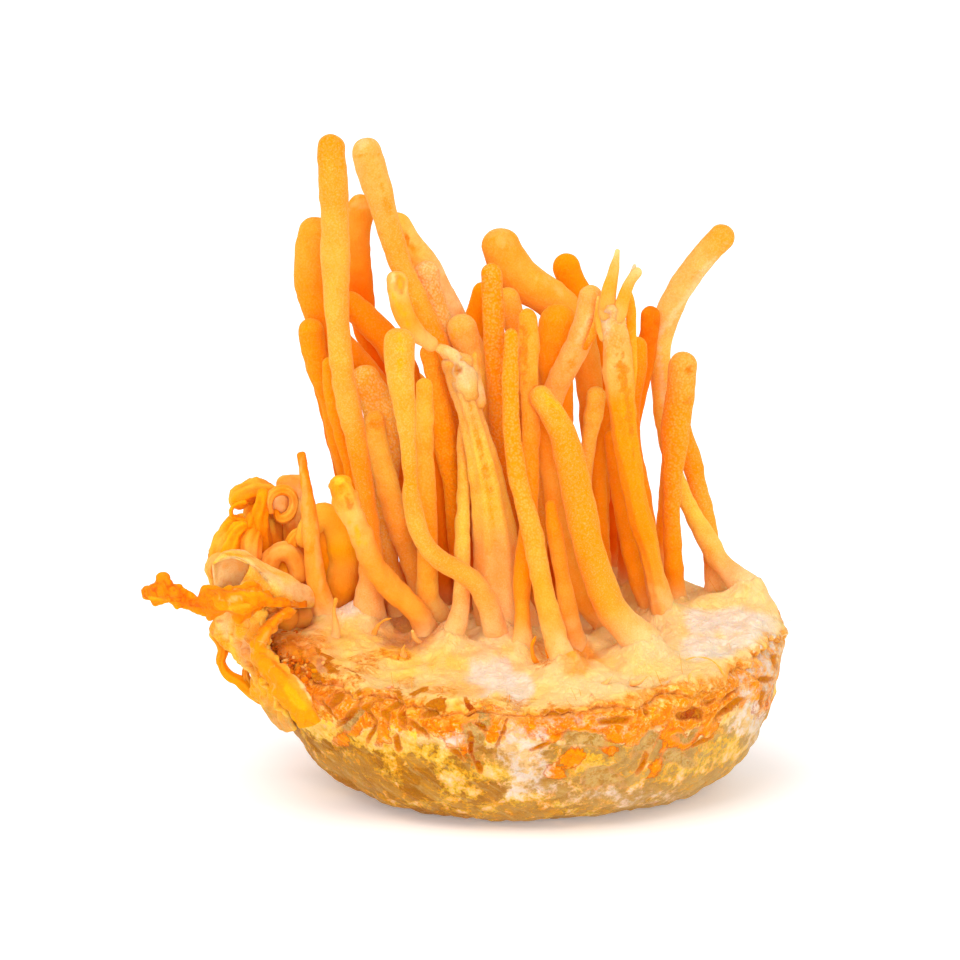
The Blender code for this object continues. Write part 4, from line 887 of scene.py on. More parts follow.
body = {
    "columns": 600, "sideRows": 96, "slotDepth": 0.4, "patchRise": 0.2, "windowDepth": 0.22, "lumps": 0.34,
    "fineLumps": 0.13, "creaseDepth": 0.32, "grainRise": 0.2,
    # dark grains that show through slots in the skin: pixel x and y, half sizes in pixels, turn in degrees
    "slots": ((316, 678, 24, 3.4, 52), (327, 671, 22, 3, 50), (338, 699, 9, 4, -45), (347, 717, 14, 2.8, -42),
        (366, 706, 17, 2.8, 58), (384, 708, 12, 2.6, 70), (401, 710, 15, 4.4, 80), (420, 699, 10, 2.8, -14),
        (436, 712, 16, 4.2, -12), (418, 728, 12, 2.2, 40), (474, 718, 17, 4.6, 60), (504, 726, 22, 1.8, -70),
        (397, 743, 2.4, 7, 0), (471, 750, 2.6, 18, -14), (477, 767, 4, 6, 0), (458, 757, 7, 2.4, 45),
        (615, 720, 17, 3.8, -5), (645, 711, 5, 2.8, 60), (690, 717, 13, 6, -12), (731, 709, 15, 2.2, -35),
        (733, 694, 8, 1.6, -30), (711, 702, 6, 1.6, -25), (765, 678, 8, 2.4, 10), (761, 697, 2.6, 10, 0),
        (776, 655, 2.6, 12, 0), (372, 733, 2.2, 12, 20), (560, 715, 12, 2, -8), (330, 712, 10, 1.8, 50),
        (352, 684, 12, 1.8, 30), (540, 745, 7, 1.6, -30), (700, 742, 12, 1.6, -25), (641, 764, 9, 1.6, -60)),
    # grains in the skin's grey windows
    "windows": ((352, 718, 15, 6, -42), (604, 780, 20, 11, 5), (648, 742, 20, 5, -38), (680, 760, 20, 6, 8),
        (582, 741, 21, 9, 10), (470, 738, 9, 16, -30), (690, 734, 15, 4, -30), (480, 722, 10, 10, 0),
        (737, 705, 9, 4, -40)),
    # saturated orange patches
    "patches": ((350, 706, 24, 14, 10), (368, 716, 14, 15, 30), (383, 714, 10, 21, 0), (384, 733, 7, 10, 0),
        (417, 706, 24, 13, 10), (441, 722, 22, 11, 20), (461, 735, 15, 16, 40), (467, 750, 5, 12, -20),
        (342, 738, 5, 8, 0), (354, 727, 12, 7, 0), (556, 733, 14, 6, -10), (571, 757, 10, 12, 30),
        (556, 773, 8, 6, 20), (628, 736, 28, 10, 8), (655, 769, 7, 11, 20), (664, 750, 4.5, 14, 25),
        (676, 740, 18, 9, 10), (704, 728, 17, 7, -30), (762, 700, 7, 17, 0), (776, 700, 5, 17, 0),
        (328, 692, 12, 15, 40), (302, 682, 18, 22, 40), (722, 701, 24, 7, -35), (497, 712, 14, 12, 0),
        (600, 709, 40, 5, 0), (606, 752, 8, 5, 0)),
    # whitish film of mycelium
    "films": ((508, 742, 16, 26, 0), (526, 762, 20, 34, 0), (514, 730, 18, 18, 0), (745, 724, 16, 14, -30),
        (765, 645, 10, 22, 0), (540, 790, 40, 10, 0), (610, 797, 50, 7, 0), (758, 720, 16, 30, -10),
        (760, 735, 14, 20, -20), (456, 744, 20, 6, 10), (583, 722, 18, 8, 0), (748, 690, 12, 14, 0),
        (769, 662, 13, 42, 0)),
    # patches of yellow and cream
    "yellows": ((370, 742, 28, 12, 10), (328, 726, 24, 8, 34), (415, 748, 44, 10, 5), (560, 788, 26, 7, 0),
        (585, 763, 18, 10, 0), (690, 764, 44, 6, -10), (650, 712, 16, 7, -10), (672, 702, 16, 6, -20),
        (482, 776, 28, 11, 10), (470, 793, 30, 8, 10), (640, 782, 30, 7, -20), (730, 745, 20, 9, -40),
        (298, 712, 24, 9, 50), (388, 758, 10, 12, 0), (440, 768, 24, 5, 20), (520, 800, 60, 5, 0)),
    # strewn over the back: how many, how far up from the rim, half lengths and half widths in millimetres
    "strewn": {"slots": (70, (-9.5, -3.5), (1.2, 3.2), (0.35, 0.7)), "windows": (26, (-14, -5), (1.6, 3), (0.7, 1.4)),
        "patches": (60, (-11, -3.5), (1.6, 4.2), (1.2, 2.6)), "films": (26, (-22, -4), (2, 5), (1.5, 3.5)),
        "yellows": (40, (-20, -8), (2.5, 6), (1, 2.2))},
}


def edgeLengths(longitude):
    # how far up the outline the felt's lower edge is at each longitude: read from its pixels in front
    turned, up = np.meshgrid(np.linspace(math.pi, 2 * math.pi, 361), np.linspace(20.0, rimLength + 3.0, 261))
    pixelX, pixelY = seenPixel(cakePoints(turned, up))
    seen = []
    for x, y in crust["edgeSeen"]:
        nearest = np.hypot(pixelX - x, pixelY - y).argmin()
        seen.append((turned.flat[nearest], up.flat[nearest]))
    knots = np.array(sorted(seen))
    first, last = knots[0], knots[-1]
    behind = rimLength - crust["edgeBehind"]
    knots = np.vstack([[last[0] - 2 * math.pi, last[1]], [math.pi / 2 + 0.6, behind],
                       [math.pi / 2 + 1.2, behind], knots, [2 * math.pi + 0.5, behind],
                       [first[0] + 2 * math.pi, first[1]]])
    around = np.stack([np.cos(longitude), np.sin(longitude), 0 * longitude], axis=-1) * cake["halfWidth"]
    smooth = np.interp(longitude % (2 * math.pi), knots[:, 0], knots[:, 1])
    teeth = crust["teeth"] * noise(around, 5.0, 3, 3) + crust["fineTeeth"] * noise(around, 1.1, 4, 2)
    back = ease(-0.1, 0.3, np.sin(longitude)) * 1.2 * noise(around, 9.0, 5)
    return smooth + teeth + back


def webRise(points):
    # the felt climbs each foot by height e^(-gap/(webReach height^2)), joined as the cube root of summed cubes
    x, y = points[..., 0], points[..., 1]
    total = 0.0 * x
    for footX, footY, radius, height in feet:
        gap = np.maximum(np.hypot(x - footX, y - footY) - radius * 0.7, 0.0)
        total = total + height ** 3 * np.exp(-3.0 * gap / (crust["webReach"] * height ** 2))
    return np.minimum(total ** (1 / 3), crust["tallestWeb"]) * (1.0 + 0.12 * noise(points, 1.8, 13, 2))


def crowding(points):
    # how many feet stand near: the sum of e^(-(gap/4)^2)
    gaps = (np.hypot(points[..., 0] - foot[0], points[..., 1] - foot[1]) for foot in feet)
    return sum(np.exp(-(gap / 4.0) ** 2) for gap in gaps)


def ovalFields(across, up, ovals):
    # for each oval (1 - d) times its smaller half size, d being the fourth root of a^4 + b^4 + 1.2 a^2 b^2; the
    # largest is kept
    best = np.full(across.shape, -farOff)
    for x, y, halfLong, halfWide, turn in ovals:
        c, s = math.cos(math.radians(turn)), math.sin(math.radians(turn))
        a = ((across - x) * c + (up - y) * s) / halfLong
        b = ((up - y) * c - (across - x) * s) / halfWide
        best = np.maximum(best, (1 - (a ** 4 + b ** 4 + 1.2 * a * a * b * b) ** 0.25) * min(halfLong, halfWide))
    return best


def skinFields(points, facing, around, up):
    # the skin's slots, windows, patches, films and yellows: read from wavering pixels in front, strewn behind
    pixelX, pixelY = seenPixel(points)
    waverX = 4.0 * noise(points, 3.0, 61) + 1.4 * noise(points, 1.0, 62)
    waverY = 4.0 * noise(points, 3.0, 63) + 1.4 * noise(points, 1.0, 64)
    scale = front["pixelsPerMm"]
    hidden = ease(0.12, -0.02, facing) * farOff
    random = np.random.default_rng(7)
    width = 2 * math.pi * cake["skinRadius"]
    fields = {}
    for name, (total, (low, high), long, wide) in body["strewn"].items():
        steady = 0.5 if name == "slots" else 1.0
        seen = ovalFields(pixelX + steady * waverX, pixelY + steady * waverY, body[name]) / scale - hidden
        ovals = np.stack([random.uniform(-width / 2, width / 2, total),
                          rimLength + random.uniform(low, high, total), random.uniform(*long, total),
                          random.uniform(*wide, total), random.uniform(-50, 50, total)], axis=-1)
        strewn = np.maximum.reduce([ovalFields(around + shift + waverX / scale, up + waverY / scale, ovals)
                                    for shift in (-width, 0.0, width)])
        fields[name] = np.maximum(seen, np.where(facing > 0.05, -farOff, strewn))
    return fields


def skinPush(points, fields, down):
    # millimetres out: lumps, creases of the orange band as a sharp valley of |noise|, patches up and slots in
    band = ease(-3.0, 0.5, down) * ease(9.0, 5.5, down)
    crease = ease(0.16, 0.0, np.abs(noise(points, 2.4, 45, 2)))
    laid = points * np.array([0.40, 0.40, 1.0])
    laid[..., 2] -= 0.5 * np.sqrt(points[..., 0] ** 2 + 60.0)
    nearest, second, own = cells(laid, 2.1, 41)
    grain = ease(0.02, 0.5, second - nearest)
    push = body["lumps"] * noise(points, 6.0, 42, 2) + body["fineLumps"] * noise(points, 1.3, 43, 2)
    push = push - body["creaseDepth"] * crease * band
    push = push + body["grainRise"] * (grain - 0.6) * ease(5.0, 8.0, down)
    push = push - body["slotDepth"] * ease(-0.12, 0.2, fields["slots"])
    push = push + body["patchRise"] * ease(-0.3, 0.5, fields["patches"])
    push = push - body["windowDepth"] * ease(-0.3, 0.3, fields["windows"])
    return push, grain, own


def feltTint(points, facing, down, up):
    # orange amid the stems, cream and peach around them, then the listed colours, duller over the rim
    rough = noise(points * np.array([1.0, 0.4, 1.0]), 3.0, 31, 3)
    crowded = crowding(points)
    tint = np.ones(points.shape) * (0.45 * colours["honey"] + 0.55 * colours["cream"])
    # orange where feet stand close and deep where they crowd most are painted shade between the stems; the other
    # paints are the felt's own colours
    for mask, name in ((ease(-0.3, 0.5, noise(points, 8.0, 32, 2)) * 0.6, "cream"),
                       (ease(4.0, -3.0, points[..., 0]) * ease(-0.2, 0.5, rough) * 0.6, "honey"),
                       (ease(0.8, 1.8, crowded) * 0.9, "orange"),
                       (ease(0.5, 2.2, webRise(points)) * 0.6, "cream"),
                       (ease(1.4, 2.2, crowded + 0.3 * rough) * 0.8, "deep")):
        tint = paint(tint, mask, name)
    for *spot, name in crust["spots"]:
        tint = paint(tint, 0.85 * blot(points, facing + 0.4, spot, 0.3 * rough), name)
    over = ease(rimLength + 1.0, rimLength - 2.5, up)
    tint = paint(tint, over * ease(-0.5, 0.4, rough) * 0.6, "apricot")
    return paint(tint, ease(-1.8, 0.4, down + 1.2 * rough) * 0.7, "orange")


def skinSurface(points, up, down, fields, grain, own):
    # the grid with all its masks; it is worn at the marked places, over the rim and down to the felt's edge
    facing = gridNormals(points) @ towardsCamera
    worn = marks(points, facing + 0.3, crust["worn"], 0.35 * noise(points, 2.2, 35, 2))
    over = ease(rimLength + 1.5, rimLength - 1.0, up)
    worn = worn + over * ease(0.1, 0.6, noise(points, 6.0, 34)) + 0.7 * ease(-1.8, -0.4, down)
    return gridSurface(points, tint=feltTint(points, facing, down, up), worn=np.clip(worn, 0, 1),
                       slot=fields["slots"], window=fields["windows"], patch=fields["patches"],
                       film=fields["films"], yellow=fields["yellows"], down=down, ownTone=own, grainEdge=grain)


def crustPiece():
    # rows run from the top's middle out over the rim to the lip, round it, and back inside to the middle
    longitude = np.linspace(-math.pi, math.pi, crust["columns"], endpoint=False)
    topEnd, rimPart, edge = outlineLengths[-1], rimLength + 5.0, edgeLengths(longitude)
    rowsTop = np.linspace(topEnd - 0.3, rimPart, crust["topRows"])[:, None] + 0.0 * edge
    rowsOver = rimPart + (edge - rimPart) * np.linspace(0.0, 1.0, crust["overRows"])[1:, None] ** 0.85
    rowsIn = edge + 0.25 + (rimPart - edge) * np.array([0.0, 0.35, 1.0])[:, None]
    rowsBack = np.array([topEnd - 10.0, topEnd - 0.3])[:, None] + 0.0 * edge
    # rows are turned over for the surface, so that its faces point outwards
    up = np.vstack([rowsTop, rowsOver, rowsIn, rowsBack])[::-1]
    inner = len(rowsIn) + len(rowsBack)
    upOut = up[inner:]
    turned = 0 * up + longitude
    plain = cakePoints(turned, up)
    fields = skinFields(plain, gridNormals(plain) @ towardsCamera, turned * cake["skinRadius"], up)
    push, grain, own = skinPush(plain, fields, edge - up)
    overRim = ease(rimLength + 3.0, rimLength - 2.0, upOut)
    # its wall: the felt's thickness on top, a ragged lip below, rounded off over its last 0.7 mm
    thin, thick = crust["lipThickness"]
    lip = thin + (thick - thin) * ease(0.0, 0.7, noise(plain[inner:], 7.0, 9, 2))
    wall = cake["feltThickness"] + (lip - cake["feltThickness"]) * overRim
    wall = wall * roundedEnd(upOut - edge, 0.7) + 0.02
    inside, back = crust["tucked"]
    outs = np.vstack([np.full_like(rowsBack, back), np.full_like(rowsIn, inside),
                      wall + push[inner:] * overRim])
    points = cakePoints(turned, up, outs)
    outer = points[inner:]
    onTop = ease(rimLength + 0.5, rimLength + 5.0, upOut)
    outer[..., 2] += onTop * (crustTop(outer[..., 0], outer[..., 1]) - outer[..., 2])
    outer[..., 2] += ease(rimLength - 1.0, rimLength + 2.0, upOut) * webRise(outer)
    fine, fineOver = crust["fineLumps"]
    lumps = crust["lumps"] * noise(outer, 2.6, 6, 2) + (fine + fineOver * overRim) * noise(outer, 0.95, 7, 2)
    flaps = crust["flaps"] * overRim * np.maximum(noise(outer, 2.0, 8, 2), -0.2)
    points[inner:] = outer + ((lumps + flaps) * ease(0.0, 1.0, upOut - edge))[..., None] * gridNormals(outer)
    surface = skinSurface(points, up, edge - up, fields, grain, own)
    return makePiece("myceliumCrust", [surface], cakeFinish, "grain_cake", "grain_cake")


def bodyPiece():
    # rows run up the outline from the underside's middle, over the rim and in under the felt
    longitude = np.linspace(-math.pi, math.pi, body["columns"], endpoint=False)
    flatEnd = 0.4 * cake["halfWidth"]
    rows = np.concatenate([np.linspace(1.0, flatEnd, 12),
                           np.linspace(flatEnd, rimLength + 0.5, body["sideRows"])[1:],
                           rimLength + np.array([3.0, 10.0, 24.0, 36.0])])
    up = rows[:, None] + 0.0 * longitude
    turned = 0 * up + longitude
    points = cakePoints(turned, up)
    normals = gridNormals(points)
    fields = skinFields(points, normals @ towardsCamera, turned * cake["skinRadius"], up)
    down = edgeLengths(turned) - up
    push, grain, own = skinPush(points, fields, down)
    side = ease(flatEnd - 1.0, flatEnd + 4.0, up) * ease(rimLength + 2.0, rimLength - 0.5, up)
    points = points + (push * side)[..., None] * normals
    points[..., 2] = np.maximum(points[..., 2], 0.0)
    surface = skinSurface(points, up, down, fields, grain, own)
    return makePiece("grainCake", [surface], cakeFinish, "grain_cake", "grain_cake")


def buildCake(start, look):
    # layers from below: tan grain, cream and yellow lace, the orange band, patches, film, windows, slots, felt.
    # coarse, medium and fine are noise from -0.5 to 0.5 that ragged joins, and down is how far below the felt's
    # edge a place is, in millimetres
    place = start.node("ShaderNodeTexCoord", {}, {}, "Object")
    deepened = place.node("ShaderNodeVectorMath", {"operation": "MULTIPLY"}, {0: place, 1: (1.0, 0.35, 1.0)})
    along = place.node("ShaderNodeMapping", {"vector_type": "TEXTURE"},
                       {"Vector": place, "Rotation": (0.0, 0.6, 0.0), "Scale": (4.0, 2.0, 1.0)})
    streak = start.grain(along, look["streaksPerMetre"], 4.0, 0.6, 0.4)
    coarse, medium, fine = (start.grain(place, scale, 4.0, rough) - 0.5
                            for scale, rough in look["grainsPerMetre"])
    crease = (start.grain(place, look["creasesPerMetre"], 5.0, 0.64, 0.9) - 0.5).math("ABSOLUTE")
    hair = (start.grain(place, look["hairsPerMetre"], 4.0, 0.6, 0.5) - 0.5).math("ABSOLUTE")
    ragged = coarse * 2.2 + medium * 2.2 + fine * 1.2
    below, worn, yellow = start.field("down"), start.field("worn"), start.field("yellow")
    down = below + coarse * 9.0 + medium * 5.0 + fine * 1.5
    # grain
    colour = start.field("ownTone").ease(0.0, 1.0).mix(rgba("tan"), rgba("olive"))
    rightward = place.node("ShaderNodeSeparateXYZ", {}, {0: place}).ease(-0.02, 0.03)
    colour = colour.under(rightward * 0.8, "straw").under(start.field("grainEdge").ease(0.7, 0.1) * 0.2, "olive")
    colour = colour.under(streak.ease(0.54, 0.66) * 0.4, "gold", 0.75).under(streak.ease(0.46, 0.34) * 0.45, "straw")
    colour = colour.under(medium.ease(0.04, 0.18) * 0.35, "orange", 0.8).under(below.ease(24, 34) * 0.5, "olive", 0.6)
    # lace
    colony = yellow.math("MAXIMUM", -1.2) * 0.18
    lace = medium * 1.6 + coarse * 1.9 + fine * 0.9 + colony + below.ease(12.5, 7.5) * 0.22
    laceSkin = (medium * 0.8 + fine).ease(-0.06, 0.1).mix(rgba("lemon"), rgba("gold"))
    colour = (lace.ease(-0.16, 0.14) * 0.6).mix(colour, laceSkin).under(lace.ease(0.06, 0.4) * 0.7, "cream", 0.9)
    # orange band
    zone = down.ease(*look["bandFades"])
    rim = (down - look["bandRim"]).math("ABSOLUTE").ease(1.8, 0.2)
    colour = (rim * 0.9).mix(colour, medium.ease(-0.05, 0.1).mix(rgba("cream"), rgba("lemon")))
    skin = (medium * 1.3 + coarse).ease(0.0, 0.24).mix(rgba("amber"), rgba("peach"))
    colour = zone.mix(colour, skin.under(fine.ease(0.04, 0.16) * 0.5, "gold"))
    # patches and film
    patchEdge = start.field("patch") + ragged * 0.75
    vivid = (yellow * 0.5 + ragged * 0.9).ease(0.0, 0.35) * below.ease(17.0, 9.0)
    colour = (vivid * 0.5).mix(colour, (medium + fine).ease(-0.1, 0.08).mix(rgba("gold", 0.95), rgba("lemon")))
    patchSkin = (medium + coarse * 0.6).ease(-0.22, -0.04).mix(rgba("deep"), rgba("amber"))
    patchSkin = patchSkin.under((fine + medium).ease(0.06, 0.2) * 0.6, "gold")
    colour = patchEdge.ease(-0.12, 0.06).mix(colour, patchSkin)
    band = zone * 0.8 + patchEdge.ease(-0.1, 0.1) * 0.4
    # deep along the creases of the band is painted shade in them
    colour = colour.under(crease.ease(0.05, 0.0) * band * 0.6, "deep", 0.8)
    colour = colour.under(hair.ease(0.04, 0.0) * band * 0.3, "deep")
    # cream just beside the creases is painted highlight on their edges
    colour = colour.under(crease.ease(0.05, 0.09) * fine.ease(0.0, 0.1) * zone * 0.5, "cream")
    film = (start.field("film") * 0.45 + ragged * 1.1).ease(-0.3, 0.9)
    colour = (film * 0.85).mix(colour, medium.ease(-0.1, 0.1).mix(rgba("cream", 0.88), rgba("milk", 0.92)))
    outline = patchEdge.math("ABSOLUTE").ease(0.2, 0.03) * zone.ease(0.95, 0.3)
    colour = colour.under(outline * 0.55, "rust", 0.8)
    # windows and slots
    windowEdge = start.field("window") + ragged * 0.4
    windowSkin = (fine + medium).ease(-0.1, 0.2).mix(rgba("straw", 1.1), rgba("tan"))
    colour = colour.under(windowEdge.ease(-0.25, -0.02) * 0.4, "blush", 0.8)
    colour = (windowEdge.ease(-0.04, 0.25) * 0.9).mix(colour, windowSkin)
    slotEdge = start.field("slot") + ragged * 0.3
    colour = colour.under(slotEdge.ease(-0.3, -0.1) * 0.3, "peach", 1.05)
    colour = colour.under(slotEdge.ease(-0.16, -0.04) * 0.5, "rust", 0.8)
    slot = slotEdge.ease(-0.08, 0.12)
    hollow = (coarse + medium * 0.6).ease(-0.14, 0.0).mix(rgba("rust", 0.75), rgba("amber", 0.64))
    colour = slot.mix(colour, hollow.under(fine.ease(0.04, 0.14) * 0.4, "gold", 0.8))
    # felt
    felt = start.grain(deepened, look["feltPerMetre"], 5.0, 0.7, 0.8)
    cotton = start.grain(deepened, look["cottonPerMetre"], 4.0, 0.6)
    tint = start.field("tint", "Color")
    tint = tint.under(cotton.ease(0.42, 0.66) * 0.3, "cream").under(cotton.ease(0.5, 0.3) * 0.25, "honey")
    tint = tint.under(hair.ease(0.05, 0.0) * worn * 0.4, "amber")
    tint = tint.under(crease.ease(0.12, 0.0) * worn.ease(0.2, 0.8) * 0.5, "amber")
    cracked = crease.ease(0.05, 0.0) * worn.ease(0.4, 0.9) * medium.ease(-0.02, 0.06)
    stained = fine.ease(0.1, 0.2) * crease.ease(0.06, 0.0) * worn.ease(0.3, 0.8)
    tint = tint.under(cracked * 0.7, "deep", 0.9).under(stained * 0.8, "rust", 0.7)
    felted = (down + medium * 6.0).ease(0.8, -0.8) * (1.0 - slot)
    colour = felted.mix(colour, tint)
    rough = 0.45 + zone * 0.15 + felted * 0.3 + film * 0.1 - slot * 0.1
    torn = crease.ease(0.06, 0.0) * (band + worn)
    height = (ragged * 0.4 * (1.0 - felted * 0.85) + lace.ease(-0.1, 0.2) * 0.5 + zone * 0.5
              + felt * felted * 0.2 + cotton * felted * 0.3 + fine * 0.4 * (1.0 - felted * 0.5)
              - torn * 0.5 - slot * 0.6)
    return colour, rough, height


cakeLook = {"soft": 0.4, "softReach": (0.003, 0.0016, 0.0006), "shine": 0.05, "velvet": 0.15, "bump": 0.7,
            "bumpDepth": 0.0004,
            # waves to the metre; the three grains with their roughness too
            "streaksPerMetre": 900.0, "grainsPerMetre": ((230.0, 0.6), (700.0, 0.62), (2300.0, 0.65)),
            "creasesPerMetre": 430.0, "hairsPerMetre": 1150.0, "feltPerMetre": 1500.0, "cottonPerMetre": 420.0,
            # where the orange band fades out and its pale rim runs, in millimetres below the felt's edge
            "bandFades": (7.2, 5.9), "bandRim": 7.1}
cakeFinish = finishMaterial("cakeFinish", cakeLook, buildCake)
bodyPiece()
crustPiece()
print("cake and felt laid")


# The left side: curled lobes that grew together, the frills in front of them, and pleats that hang to the cake
tangle = {
    "lump": 0.5, "fleck": 0.35, "worn": ((266, 545, 6, 16, 0), (236, 512, 6, 10, 0)),
    # each lobe's middle line in the front view, depths, thicknesses in millimetres, tints from end to end, and
    # the depth of its ribs
    # deep and rust along the lobes are partly their own colour and partly painted shade of the gaps between them
    "lobes": (
        (((243, 509), (240, 501), (247, 493), (258, 490), (269, 494), (272, 503)), (7, 8, 9), (2.6, 3, 3, 2.8, 2.4),
         "gold amber amber orange", 0.2),
        (((263, 488), (262, 503), (259, 520), (262, 540), (266, 560)), (5, 5, 6), (2.2, 2.4, 2.2, 2.8),
         "amber orange deep rust", 0.15),
        (((280, 494), (288, 486), (297, 491), (299, 508), (299, 535), (298, 565)), (10, 11, 8), (3, 4.2, 4.4, 4, 3.6),
         "peach cream milk peach", 0.05),
        (((272, 514), (269, 504), (273, 494), (283, 490), (292, 495), (294, 506), (289, 516), (279, 518), (275, 509)),
         (5, 4, 6), (0.9, 1.2, 1.5, 1.2, 1.6, 0.8), "apricot peach orange peach apricot orange", 0.1),
        (((276, 513), (281, 503), (288, 500)), (7, 7.5), (2.2, 2.6, 2), "blush cream blush", 0.05),
        (((247, 521), (236, 525), (227, 535), (221, 550), (219, 570), (224, 592)), (6, 5, 4), (2.4, 3.2, 3.6, 3.4, 3),
         "gold amber amber peach", 0.2),
        (((248, 524), (238, 531), (231, 545), (229, 560), (232, 582)), (4, 3, 3), (1.8, 2.6, 3, 2.8),
         "gold gold amber orange", 0.2),
        (((252, 512), (249, 528), (244, 545), (242, 560), (247, 588)), (5, 4, 4), (1.8, 2.4, 2.8, 2.6),
         "orange amber orange deep", 0.2),
        (((252, 566), (251, 552), (253, 540), (257, 531)), (2.6, 2.4, 4), (2.6, 3.2, 3, 2),
         "amber peach apricot amber", 0.25),
        (((286, 606), (272, 590), (262, 565), (268, 540), (266, 515)), (9, 9, 9), (4.6, 6, 6, 5, 3.4),
         "orange deep rust deep orange", 0.25),
        (((268, 582), (268, 566), (274, 554), (284, 550), (293, 555), (298, 567), (299, 584)), (3, 2, 3),
         (1.8, 2.3, 2.6, 2.3, 2), "apricot peach peach apricot", 0.08),
        (((284, 588), (284, 574), (283, 560)), (4.2, 4.2), (3.4, 3.6, 3), "orange apricot orange", 0.15),
        (((303, 529), (296, 535), (291, 544), (293, 554), (300, 556)), (2, 2.5, 3), (1.2, 1.9, 2.1, 1.8),
         "deep orange deep rust", 0.1),
        (((247, 502), (237, 504), (231, 510), (233, 517), (241, 520), (248, 521)), (5, 4, 5),
         (0.9, 0.5, 0.6, 0.5, 0.9), "amber orange amber", 0),
        (((224, 556), (215, 561), (209, 569), (212, 578)), (2, 1, 1), (1.8, 1.7, 1.3, 0.8), "peach blush peach",
         0.1),
        (((298, 500), (298, 540), (296, 580), (303, 606)), (8, 8, 4), (4, 4.2, 4.6, 5), "blush apricot blush rose",
         0.1),
        (((300, 604), (284, 575), (272, 540), (270, 505)), (15, 17, 16), (4.4, 6.2, 6, 4.2),
         "apricot orange amber apricot", 0.3),
        (((262, 616), (246, 610), (232, 585), (234, 550), (250, 515)), (12, 14, 12), (4.4, 5, 5.4, 4.6, 3.6),
         "peach amber amber gold", 0.3),
        (((280, 520), (262, 530), (250, 550), (255, 580)), (18, 19, 17), (3, 3.6, 3.4), "gold orange apricot",
         0.25),
        (((268, 606), (272, 596), (283, 593), (290, 600)), (-2, -3, -3), (1.6, 2, 1.8), "peach cream peach", 0.1),
        (((252, 622), (256, 608), (266, 604), (276, 610)), (-5, -6, -5), (1.4, 1.9, 1.6), "apricot peach apricot",
         0.1),
        (((270, 492), (263, 501), (260, 515), (260, 532)), (9.5, 9.5, 8), (3.4, 4, 4.2, 3.6),
         "amber orange amber deep", 0.2),
        (((260, 604), (272, 611), (284, 617), (298, 622)), (0, -1, -2), (2.6, 3.6, 3.6, 3),
         "peach cream apricot rose", 0.1),
        # this lobe's pinkish browns, and the rose ends of the lobes that reach (303, 606) and (298, 622), are painted
        # shade of a dark hollow
        (((288, 622), (300, 618), (312, 616), (322, 616)), (1, 1, 2), (3, 3.6, 3.4, 3), "shell rose shell", 0),
        # two strands with a hole between them at the bottom
        (((210, 632), (217, 640), (223, 650), (221, 662), (228, 674), (240, 681), (251, 691), (268, 702), (292, 716)),
         (3, 1, 1), (0.9, 1.6, 1.3, 1.4, 1.8, 1.7, 1.4), "apricot amber orange amber apricot", 0.12),
        (((216, 638), (229, 648), (241, 655), (247, 664), (246, 676), (256, 692), (276, 706)), (3, 1, 1),
         (1.3, 1.2, 1.1, 1.4, 1.6), "orange peach apricot peach", 0.1)),
}


def lobeSurface(lobe, seed):
    # a tube along a lobe's line, its ring swelling by noise and by sines for the ribs
    seen, depth, thick, tints, ribs = lobe
    tube = carriedTube(seenPath(seen, depth), thick, spacing=0.45, sides=24)
    points, share = tube["points"], tube["share"]
    push = tangle["lump"] * min(1.0, thick[1] / 3.0) * noise(points, 2.8, seed, 3)
    push = push + ribs * np.sin(6 * tube["turn"] + 4.0 * noise(points, 5.0, seed + 1)) * ease(0.0, 0.2, share)
    points = points + (push * ease(0.0, 0.08, share) * ease(1.0, 0.92, share))[..., None] * tube["ring"]
    tint = tintAlong(tints, share, points, seed + 2)
    shared = noise(points, 4.0, 77, 2)
    # honey and gold follow a noise; deep where the ring is pushed in is painted shade in the lobe's hollows
    for mask, name in ((0.5 * ease(0.0, 0.5, shared), "honey"), (0.35 * ease(0.0, -0.5, shared), "gold"),
                       (ease(0.05, -0.15, push) * 0.5, "deep")):
        tint = paint(tint, mask, name)
    worn = marks(points, gridNormals(points) @ towardsCamera, tangle["worn"], 0.0)
    return fleshGrid(points, tint, tangle["fleck"], worn=worn)


def curlTangle():
    # every lobe in one mesh
    surfaces = [lobeSurface(lobe, 900 + 7 * number) for number, lobe in enumerate(tangle["lobes"])]
    return makePiece("curlTangle", surfaces, flesh["frill"], "frill", "curl_tangle")


curlTangle()

